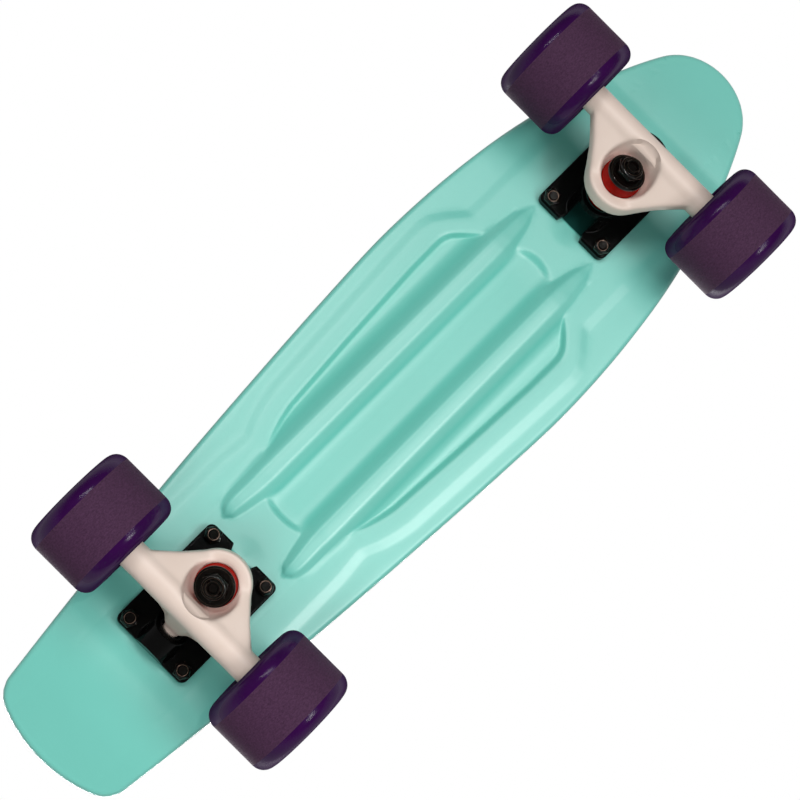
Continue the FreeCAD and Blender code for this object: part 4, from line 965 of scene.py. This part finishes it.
def stud(bm):
    """One square stud with softened top edges, its crest at z = 0."""
    block = bmesh.ops.create_cube(bm, size=1.0)["verts"]
    height = FIELD_DEPTH + STUD_ROOT
    bmesh.ops.scale(bm, vec=(2 * STUD_HALF * MM, 2 * STUD_HALF * MM, height * MM), verts=block)
    bmesh.ops.translate(bm, vec=(0, 0, -height / 2 * MM), verts=block)
    top = [edge for edge in bm.edges if all(v.co.z > -0.1 * MM for v in edge.verts)]
    bmesh.ops.bevel(
        bm, geom=top, offset=STUD_BEVEL * MM, segments=2, profile=0.5, affect="EDGES", material=-1)


def stud_places():
    """Centres of the studs that fit whole inside the sunk field."""
    reach = STUD_HALF + STUD_CLEAR
    for across in STUDS_ACROSS:
        for step in STUDS_ALONG:
            x, y = step * STUD_PITCH, across * STUD_PITCH
            corners = [(x + a * reach, y + b * reach) for a in (-1, 1) for b in (-1, 1)]
            inside = min(margin(*corner) for corner in corners) > FIELD_MARGIN + FIELD_CLEAR
            if inside and max(pad(*corner) for corner in corners) == 0:
                yield x, y


def stud_field():
    """All the studs as one mesh, each point lifted to the board's curve."""
    bm = bmesh.new()
    stud(bm)
    places = [Matrix.Translation((x * MM, y * MM, 0)) for x, y in stud_places()]
    repeated(bm, places)
    for vert in bm.verts:
        vert.co.z += (TOP_Z + rise(vert.co.x / MM, RIM_THICKNESS) - BELOW_RIM) * MM
    mesh = bpy.data.meshes.new("studs")
    bm.to_mesh(mesh)
    bm.free()
    print("studs", len(places))
    return mesh


deck_bm = deck_shell()
studs = stud_field()
deck_bm.from_mesh(studs)
bpy.data.meshes.remove(studs)
finish_piece("moulded_deck", deck_bm, [deck_plastic], "board", ["deck"], sharp=50)

# %% [markdown]
# The parts round a kingpin share its axis, which leans. They are all drawn upright, with z running
# down the kingpin from the middle of the hanger's ring, and one matrix then sets each in place.

# %% Where each truck's kingpin stands
RING_CENTRE = {"front": Vector((171.15, 0, 46.0)), "rear": Vector((-158.15, 0, 46.0))}
LEAN = math.radians(17)


def kingpin_place(end):
    """Matrix whose z runs down the kingpin from the middle of the ring and whose x points to the arms."""
    sign = 1 if end == "front" else -1
    arm = Vector((sign * math.cos(LEAN), 0, math.sin(LEAN)))
    down = Vector((sign * math.sin(LEAN), 0, -math.cos(LEAN)))
    turn = Matrix((arm, down.cross(arm), down)).transposed().to_4x4()
    return Matrix.Translation(RING_CENTRE[end] * MM) @ turn


def placed(bm, place):
    """The bmesh itself, moved by a matrix."""
    bmesh.ops.transform(bm, matrix=place, verts=bm.verts)
    return bm


def turned(bm, profile, ring=False, steps=72):
    """Spin (radius, along) points, in mm, round z; a ring's outline closes on itself."""
    verts = [bm.verts.new((radius * MM, 0, height * MM)) for radius, height in profile]
    ends = verts[1:] + (verts[:1] if ring else [])
    edges = [bm.edges.new(pair) for pair in zip(verts, ends)]
    bmesh.ops.spin(
        bm, geom=verts + edges, cent=(0, 0, 0), axis=(0, 0, 1), angle=math.tau, steps=steps, use_merge=True)
    bmesh.ops.remove_doubles(bm, verts=bm.verts, dist=0.002 * MM)
    bmesh.ops.recalc_face_normals(bm, faces=bm.faces)


def frustum(bm, sides, low, high, start, height, across=0.0, turn=0.0):
    """A closed cone or prism along z from start, with a radius at each end, in mm; gives its points."""
    place = Matrix.Translation((across * MM, 0, (start + height / 2) * MM))
    return bmesh.ops.create_cone(
        bm, cap_ends=True, segments=sides, radius1=low * MM, radius2=high * MM, depth=height * MM,
        matrix=place @ Matrix.Rotation(math.radians(turn), 4, "Z"))["verts"]


def sliced(bm, point, normal, **side):
    """Cut a closed body with a plane through a point in mm, drop one side and close the cut."""
    cut = bmesh.ops.bisect_plane(
        bm, geom=whole(bm), plane_co=Vector(point) * MM, plane_no=normal, **side)["geom_cut"]
    bmesh.ops.contextual_create(bm, geom=edges_in(cut))
    bmesh.ops.recalc_face_normals(bm, faces=bm.faces)


print("kingpins lean", round(math.degrees(LEAN)), "degrees")

# %% [markdown]
# The hangers and baseplates are castings with soft edges. Bevels would need a clean mesh, so a copy
# of the exact solid is remeshed with small voxels and then relaxed, which rounds every edge as sand
# casting and paint do. Faces that are machined after casting are cut after that, so that their
# edges stay crisp.

# %% Castings
def helper_object(name, bm):
    """A bmesh as a scene object that a modifier can use; it is removed again afterwards."""
    mesh = bpy.data.meshes.new(name)
    bm.to_mesh(mesh)
    bm.free()
    holder = bpy.data.objects.new(name, mesh)
    bpy.context.scene.collection.objects.link(holder)
    return holder


def modified(bm, steps):
    """A bmesh after a list of modifiers, given as (kind, settings, tool bmesh or None)."""
    holder = helper_object("work", bm)
    tools = []
    for kind, settings, tool in steps:
        modifier = holder.modifiers.new(kind.lower(), kind)
        for key, value in settings.items():
            setattr(modifier, key, value)
        if tool:
            tools.append(helper_object("tool", tool))
            modifier.object = tools[-1]
    seen = holder.evaluated_get(bpy.context.evaluated_depsgraph_get())
    result = bpy.data.meshes.new_from_object(seen)
    for spare in [holder] + tools:
        bpy.data.objects.remove(spare)
    bm = bmesh.new()
    bm.from_mesh(result)
    bpy.data.meshes.remove(result)
    return bm


JOIN = {"operation": "UNION", "solver": "EXACT"}
CUT = {"operation": "DIFFERENCE", "solver": "EXACT"}


def casting(node, voxel_mm, passes, fill=None, hollow=None):
    """A softened copy of an exact solid, with a body joined to it and a hollow cut in it first."""
    bm = bmesh.new()
    bm.from_mesh(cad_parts[node].data)
    bmesh.ops.remove_doubles(bm, verts=bm.verts, dist=0.001 * MM)
    steps = [("BOOLEAN", JOIN, fill)] if fill else []
    steps += [("BOOLEAN", CUT, hollow)] if hollow else []
    steps.append(("REMESH", {"mode": "VOXEL", "voxel_size": voxel_mm * MM}, None))
    steps.append(("SMOOTH", {"factor": 0.5, "iterations": passes}, None))
    return modified(bm, steps)


PLATE_VOXEL, PLATE_PASSES = 0.45, 3
for end in ("front", "rear"):
    plate = casting(end + "_baseplate", PLATE_VOXEL, PLATE_PASSES)
    node = end + "_baseplate"
    finish_piece(end + "_cast_baseplate", plate, [black_enamel], "board", [node], 180)

# %% [markdown]
# A hanger's face is cast full and then hollowed for the kingpin nut and its spanner. The hollow is
# round, but flat towards the arms, where a second milling cut leaves a tilted half-moon ledge just
# clear of the axle. A counterbore seats the bushing. Each cut is a body of its own, taken away from
# the casting as the tool would.

# %% Hangers
RING_FACE, RECESS_FLOOR, RECESS_RADIUS, TOOL_TOP = 5.0, 3.5, 12.4, 29.0
FILL_RADIUS, FILL_START, FILL_HEIGHT, FILL_SLOPE, FILL_FRONT = 19.3, 4.6, 21.4, 0.8, 12.8
CHORD_LOW, CHORD, LEDGE_TILT = 12.9, (13.4, 18.6), math.radians(48.5)
HOLLOW = [
    (0, RING_FACE), (12.9, RING_FACE), (15.2, 9.5), (16.4, 18.0), (17.0, 24.0), (17.3, TOOL_TOP),
    (0, TOOL_TOP)]
LEDGE_FOOT, LEDGE_HEAD, LEDGE_HEIGHT, LEDGE_ACROSS, LEDGE_LEAN = 12.6, 16.6, 18.0, 3.6, -2.7
HANGER_VOXEL, HANGER_PASSES, ARM_START, MIDDLE_PASSES = 0.6, 6, 38, 30


def hanger_fill(place):
    """The cast body in front of the arms, as it was before any hollow was cut."""
    bm = bmesh.new()
    frustum(bm, 96, FILL_RADIUS, FILL_RADIUS, FILL_START, FILL_HEIGHT)
    sliced(bm, (0, 0, FILL_FRONT), (-FILL_SLOPE, 0, 1), clear_outer=True)
    return placed(bm, place)


def nut_hollow(place):
    """Cast hollow for the nut and its spanner, flat on the arms' side."""
    bm = bmesh.new()
    turned(bm, HOLLOW, steps=96)
    rise_over = (CHORD[0] - CHORD_LOW) / (CHORD[1] - RING_FACE)
    sliced(bm, (CHORD_LOW, 0, RING_FACE), (1, 0, -rise_over), clear_outer=True)
    return placed(bm, place)


def recess_tool(place):
    """The counterbore that seats the bushing, with its broken edge."""
    bm = bmesh.new()
    turned(bm, [
        (0, RECESS_FLOOR), (RECESS_RADIUS, RECESS_FLOOR), (RECESS_RADIUS, RING_FACE - 0.2),
        (13.0, RING_FACE + 0.4), (13.1, RING_FACE + 4), (0, RING_FACE + 4)], steps=96)
    return placed(bm, place)


def ledge_tool(place):
    """The milling cut that leaves a half-moon ledge at the foot of the arms."""
    bm = bmesh.new()
    frustum(bm, 96, LEDGE_FOOT, LEDGE_HEAD, TOOL_TOP - LEDGE_HEIGHT, LEDGE_HEIGHT, LEDGE_ACROSS)
    top = [vert for vert in bm.verts if vert.co.z > (TOOL_TOP - 1) * MM]
    bmesh.ops.translate(bm, vec=(LEDGE_LEAN * MM, 0, 0), verts=top)
    face = (-math.sin(LEDGE_TILT), 0, math.cos(LEDGE_TILT))
    sliced(bm, (CHORD[0], 0, CHORD[1]), face, clear_inner=True)
    return placed(bm, place)


def cast_hanger(end):
    """One hanger: cast full and hollow, relaxed between its arms, then machined."""
    place, node = kingpin_place(end), end + "_hanger"
    bm = casting(node, HANGER_VOXEL, HANGER_PASSES, hanger_fill(place), nut_hollow(place))
    middle = [vert for vert in bm.verts if abs(vert.co.y) < ARM_START * MM]
    for step in range(MIDDLE_PASSES):
        bmesh.ops.smooth_vert(
            bm, verts=middle, factor=0.5, use_axis_x=True, use_axis_y=True, use_axis_z=True)
    bm = modified(bm, [("BOOLEAN", CUT, recess_tool(place)), ("BOOLEAN", CUT, ledge_tool(place))])
    finish_piece(end + "_cast_hanger", bm, [cream_paint], node, [node], 42)


for end in ("front", "rear"):
    cast_hanger(end)

# %% [markdown]
# The kingpin stack is bought hardware, plated black. The kingpin is a rolled bolt with a drilled end, and
# the nut is a hexagon with a round collar that holds a nylon ring. Both are turned outlines, with a hexagon
# added. Black hides their shape, so the narrow rims, where the plating is worn off first, get the brown
# grey steel and draw it in fine bright lines of painted glints: partly real worn plating, partly painted
# highlight.

# %% Kingpins and their nuts
KINGPIN_RADIUS, THREAD_START, THREAD_END, THREAD_DEPTH, THREAD_PITCH = 4.76, 4.0, 22.0, 0.35, 1.2
SHANK = [(0, -24.5), (KINGPIN_RADIUS, -24.5), (KINGPIN_RADIUS, 5.0), (0, 5.0)]
HEAD_RADIUS, HEAD_START, HEAD_HEIGHT = 8.2, -29.3, 5.5
NUT_ACROSS, NUT_START, NUT_HEIGHT, NUT_COLLAR, NUT_BEVEL = 14.3, 14.4, 4.6, 2.1, 0.45
NARROW, NARROW_ON_DECK_NUTS = 0.3, 0.36   # faces narrower than this get painted glints


def mark_painted_glints(bm, width=NARROW):
    """Give the narrow faces of rims and bevels the second material, the steel of the painted glints."""
    worn = [face for face in bm.faces if min(edge.calc_length() for edge in face.edges) < width * MM]
    for face in worn:
        face.material_index = 1
    # Counts the faces that carry painted glints.
    print("rubbed faces", len(worn), "of", len(bm.faces))


def black_piece(name, bm, node, sharp=30):
    """Plated hardware that stays with the board."""
    finish_piece(name, bm, [black_steel, rim_glint_steel], "board", [node], sharp)


def nut_on(bm, across, start, height, collar, bore):
    """A hexagon nut along z from start, with a round collar on its outer end."""
    corner = across / math.sqrt(3)
    hexagon = frustum(bm, 6, corner, corner, start, height)
    edges = list({edge for vert in hexagon for edge in vert.link_edges})
    bmesh.ops.bevel(
        bm, geom=edges, offset=NUT_BEVEL * MM, segments=2, profile=0.5, affect="EDGES", material=-1)
    foot, top = start + height - 0.4, start + height + collar
    out = across / 2 - 0.4
    turned(bm, [
        (bore, foot), (out, foot), (out, top - 0.9), (out - 0.3, top - 0.35), (out - 1.0, top),
        (out - 1.25, top), (bore + 0.6, top), (bore, top - 0.3)], ring=True, steps=48)


def bolt_end(radius, start, end, pitch=THREAD_PITCH):
    """Outline of a threaded shank from start up to its drilled, bevelled end."""
    points = [(0, start), (radius, start)]
    height = start + pitch
    while height < end - 1.0:
        points += [(radius, height - pitch * 0.35), (radius - THREAD_DEPTH, height)]
        height += pitch
    bevel = [(radius, end - 0.8), (radius - 0.8, end), (radius - 1.05, end)]
    return points + bevel + [(radius * 0.62, end), (radius * 0.5, end - 1.5), (0, end - 1.8)]


def kingpin_piece(end):
    """The bolt: a threaded end whose narrow faces carry painted glints, a plain shank and a hexagon head.
    """
    bm = bmesh.new()
    turned(bm, bolt_end(KINGPIN_RADIUS, THREAD_START, THREAD_END), steps=48)
    mark_painted_glints(bm)
    turned(bm, SHANK, steps=48)
    frustum(bm, 6, HEAD_RADIUS, HEAD_RADIUS, HEAD_START, HEAD_HEIGHT, turn=30)
    black_piece(end + "_turned_kingpin", placed(bm, kingpin_place(end)), end + "_kingpin")


def kingpin_nut_piece(end):
    """The nut that holds the stack together."""
    bm = bmesh.new()
    nut_on(bm, NUT_ACROSS, NUT_START, NUT_HEIGHT, NUT_COLLAR, KINGPIN_RADIUS)
    # Painted glints on the nut's rims and bevels.
    mark_painted_glints(bm)
    black_piece(end + "_collared_kingpin_nut", placed(bm, kingpin_place(end)), end + "_kingpin_nut")


for end in ("front", "rear"):
    kingpin_piece(end)
    kingpin_nut_piece(end)

# %% [markdown]
# The dished washers are pressed, with rolled rims that carry painted glints. The bushings between them are
# clear red urethane.

# %% Dished washers and bushings
# Each washer's inside face, or each bushing's seat and length, in mm along the kingpin, and which
# way it faces: 1 is down, away from the deck.
WASHERS = {"base_cup_washer": (-17.4, 1), "road_cup_washer": (13.0, -1)}
BUSHINGS = {"board_side_bushing": (-3.5, 13.9, -1), "road_side_bushing": (3.5, 9.5, 1)}
WASHER_BORE, WASHER_THICK, WASHER_LIP = 4.81, 1.4, 1.2
BUSHING_BORE, LONG_EDGE = 5.06, 2.5


def cup_washer_piece(end, node, face, towards):
    """A pressed dish whose inside face is at face, with a rolled rim towards the bushing."""
    thick, lip = -towards * WASHER_THICK, towards * WASHER_LIP
    outline = [
        (WASHER_BORE, face), (9.6, face), (10.5, face + lip * 0.25), (10.85, face + lip * 0.8),
        (11.1, face + lip), (11.4, face + lip * 0.9), (11.5, face + lip * 0.4),
        (11.45, face + thick * 0.4), (11.1, face + thick * 0.8), (10.4, face + thick),
        (10.15, face + thick), (WASHER_BORE, face + thick)]
    bm = bmesh.new()
    turned(bm, outline, ring=True)
    # Painted glints on the narrow faces of the rolled rim.
    mark_painted_glints(bm)
    black_piece(f"{end}_{node}_dish", placed(bm, kingpin_place(end)), f"{end}_{node}", 40)


def bushing_piece(end, node, seat, length, towards):
    """A soft urethane ring between the hanger at its seat and the board at its washer."""
    outline = [
        (BUSHING_BORE, 0.6), (5.6, 0.0), (11.3, 0.0), (11.9, 0.5), (12.1, 1.5), (12.1, length * 0.4),
        (11.7, length * 0.6), (10.9, length - 2.4), (10.6, length - 1.4), (10.3, length - 0.4),
        (9.8, length), (5.6, length), (BUSHING_BORE, length - 0.6)]
    bm = bmesh.new()
    turned(bm, [(radius, seat + towards * run) for radius, run in outline], ring=True)
    tall = [e for e in bm.edges if abs(e.verts[0].co.z - e.verts[1].co.z) > LONG_EDGE * MM]
    bmesh.ops.subdivide_edges(bm, edges=tall, cuts=4)
    place = kingpin_place(end)
    piece = finish_piece(
        f"{end}_{node}_ring", placed(bm, place), [red_bushing], None, [f"{end}_{node}"], 40)
    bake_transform(piece)


for end in ("front", "rear"):
    for node, (face, towards) in WASHERS.items():
        cup_washer_piece(end, node, face, towards)
    for node, (seat, length, towards) in BUSHINGS.items():
        bushing_piece(end, node, seat, length, towards)

# %% [markdown]
# Eight machine screws hold the trucks. Their lock nuts show on the baseplates: a hexagon, a round
# collar with its nylon ring, and the screw's end in the middle. One nut is made and repeated.

# %% Deck nuts
BOLT_X, BOLT_Y, PLATE_THICKNESS = 33.0, 20.65, 7.0
DECK_NUT_ACROSS, DECK_NUT_HEIGHT, DECK_NUT_COLLAR, SCREW_RADIUS = 9.5, 3.3, 1.5, 2.4


def deck_nut_pieces(end):
    """The four nuts of one truck, face down on its baseplate."""
    nuts = bmesh.new()
    nut_on(nuts, DECK_NUT_ACROSS, 0.0, DECK_NUT_HEIGHT, DECK_NUT_COLLAR, SCREW_RADIUS)
    seat, over = MOUNT_Z - PLATE_THICKNESS, Matrix.Rotation(math.pi, 4, "X")
    bolts = [Vector((TRUCK_X[end] + a * BOLT_X, b * BOLT_Y, seat)) for a in (-1, 1) for b in (-1, 1)]
    repeated(nuts, [Matrix.Translation(bolt * MM) @ over for bolt in bolts])
    # Painted glints on the nuts' rims and bevels.
    mark_painted_glints(nuts, NARROW_ON_DECK_NUTS)
    black_piece(end + "_collared_deck_nuts", nuts, end + "_deck_nuts")


for end in ("front", "rear"):
    deck_nut_pieces(end)

# %% [markdown]
# A wheel is a turned shape, so its section is drawn once and spun round the axle: a bearing seat,
# a dished hub, a flat face, a lip that rolls round, and the tread. The faces of the tread then get
# the ground finish. The radius comes from the frame, a hair under it so as to stay on the ground.

# %% Wheels
WHEEL_HALF, TREAD_HALF, LIP_FACE, HUB_MOUTH, HUB_FLOOR = 23.0, 14.75, 27.0, 16.5, 13.2
SEAT_OUT, SEAT_IN, SEAT_RADIUS, SHOULDER = 12.0, 5.0, 11.0, 8.8
HAIR, TREAD_SKIN, WHEEL_STEPS = 0.002, 0.3, 120


def wheel_section(radius):
    """(radius, along the axle) points of one half, from the middle of the bore to the tread."""
    points = [(SHOULDER, 0.0), (SHOULDER, SEAT_IN), (SEAT_RADIUS, SEAT_IN), (SEAT_RADIUS, SEAT_OUT)]
    points += [(HUB_FLOOR, SEAT_OUT), (HUB_MOUTH - 0.8, WHEEL_HALF - 1.2)]
    points += [(HUB_MOUTH - 0.2, WHEEL_HALF - 0.3), (HUB_MOUTH + 0.7, WHEEL_HALF)]
    points.append((LIP_FACE - 3, WHEEL_HALF))
    for degrees in range(0, 91, 9):
        turn = math.radians(degrees)
        out, along_axle = (radius - LIP_FACE) * math.sin(turn), (WHEEL_HALF - TREAD_HALF) * math.cos(turn)
        points.append((LIP_FACE + out, TREAD_HALF + along_axle))
    points.append((radius, 0.0))
    return points


def wheel_piece(end, hand):
    """One wheel, spun round its own axle."""
    node = f"{end}_{hand}_wheel"
    low, high = [Vector(c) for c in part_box(node)]
    middle = (low + high) / 2
    radius = (high.z - low.z) / 2 / MM - HAIR
    half = wheel_section(radius)
    section = half + [(r, -a) for r, a in reversed(half)][1:-1]
    bm = bmesh.new()
    verts = [bm.verts.new((middle.x, middle.y + a * MM, middle.z + r * MM)) for r, a in section]
    edges = [bm.edges.new((a, b)) for a, b in zip(verts, verts[1:] + verts[:1])]
    bmesh.ops.spin(
        bm, geom=verts + edges, cent=middle, axis=(0, 1, 0), angle=math.tau, steps=WHEEL_STEPS,
        use_merge=True)
    bmesh.ops.remove_doubles(bm, verts=bm.verts, dist=0.005 * MM)
    bmesh.ops.recalc_face_normals(bm, faces=bm.faces)
    for face in bm.faces:
        place = face.calc_center_median()
        far = math.hypot(place.x - middle.x, place.z - middle.z) / MM
        on_tread = far > radius - TREAD_SKIN and abs(place.y - middle.y) < TREAD_HALF * MM
        face.material_index = 1 if on_tread else 0
    finish_piece(
        f"{end}_{hand}_cast_wheel", bm, [purple_lip, purple_tread], node, [node], 28)


for end in ("front", "rear"):
    for hand in ("left", "right"):
        wheel_piece(end, hand)

# %% [markdown]
# Axles, bearings, bolts and cups are turned or pressed to plain shapes that the exact model already
# has, so they keep their mesh and only get a finish, picked by the end of their name. Modelling them
# again would add nothing that shows.

# %% Finishes for the parts that keep their exact shape
FINISH = {
    cup_plastic: ("pivot_cup",),
    black_steel: ("axle_nuts", "deck_bolts"),
    ground_steel: (
        "axle", "speed_washers", "bearing_spacers", "bearing_inner_rings", "bearing_outer_rings",
        "bearing_balls"),
    pressed_steel: ("bearing_shields",),
    nylon: ("bearing_cages",)}
for material, endings in FINISH.items():
    finished = [node for name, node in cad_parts.items() if name.endswith(endings)]
    for node in finished:
        for slot in node.material_slots:
            slot.material = material
    print(material.name, "on", len(finished), "parts")
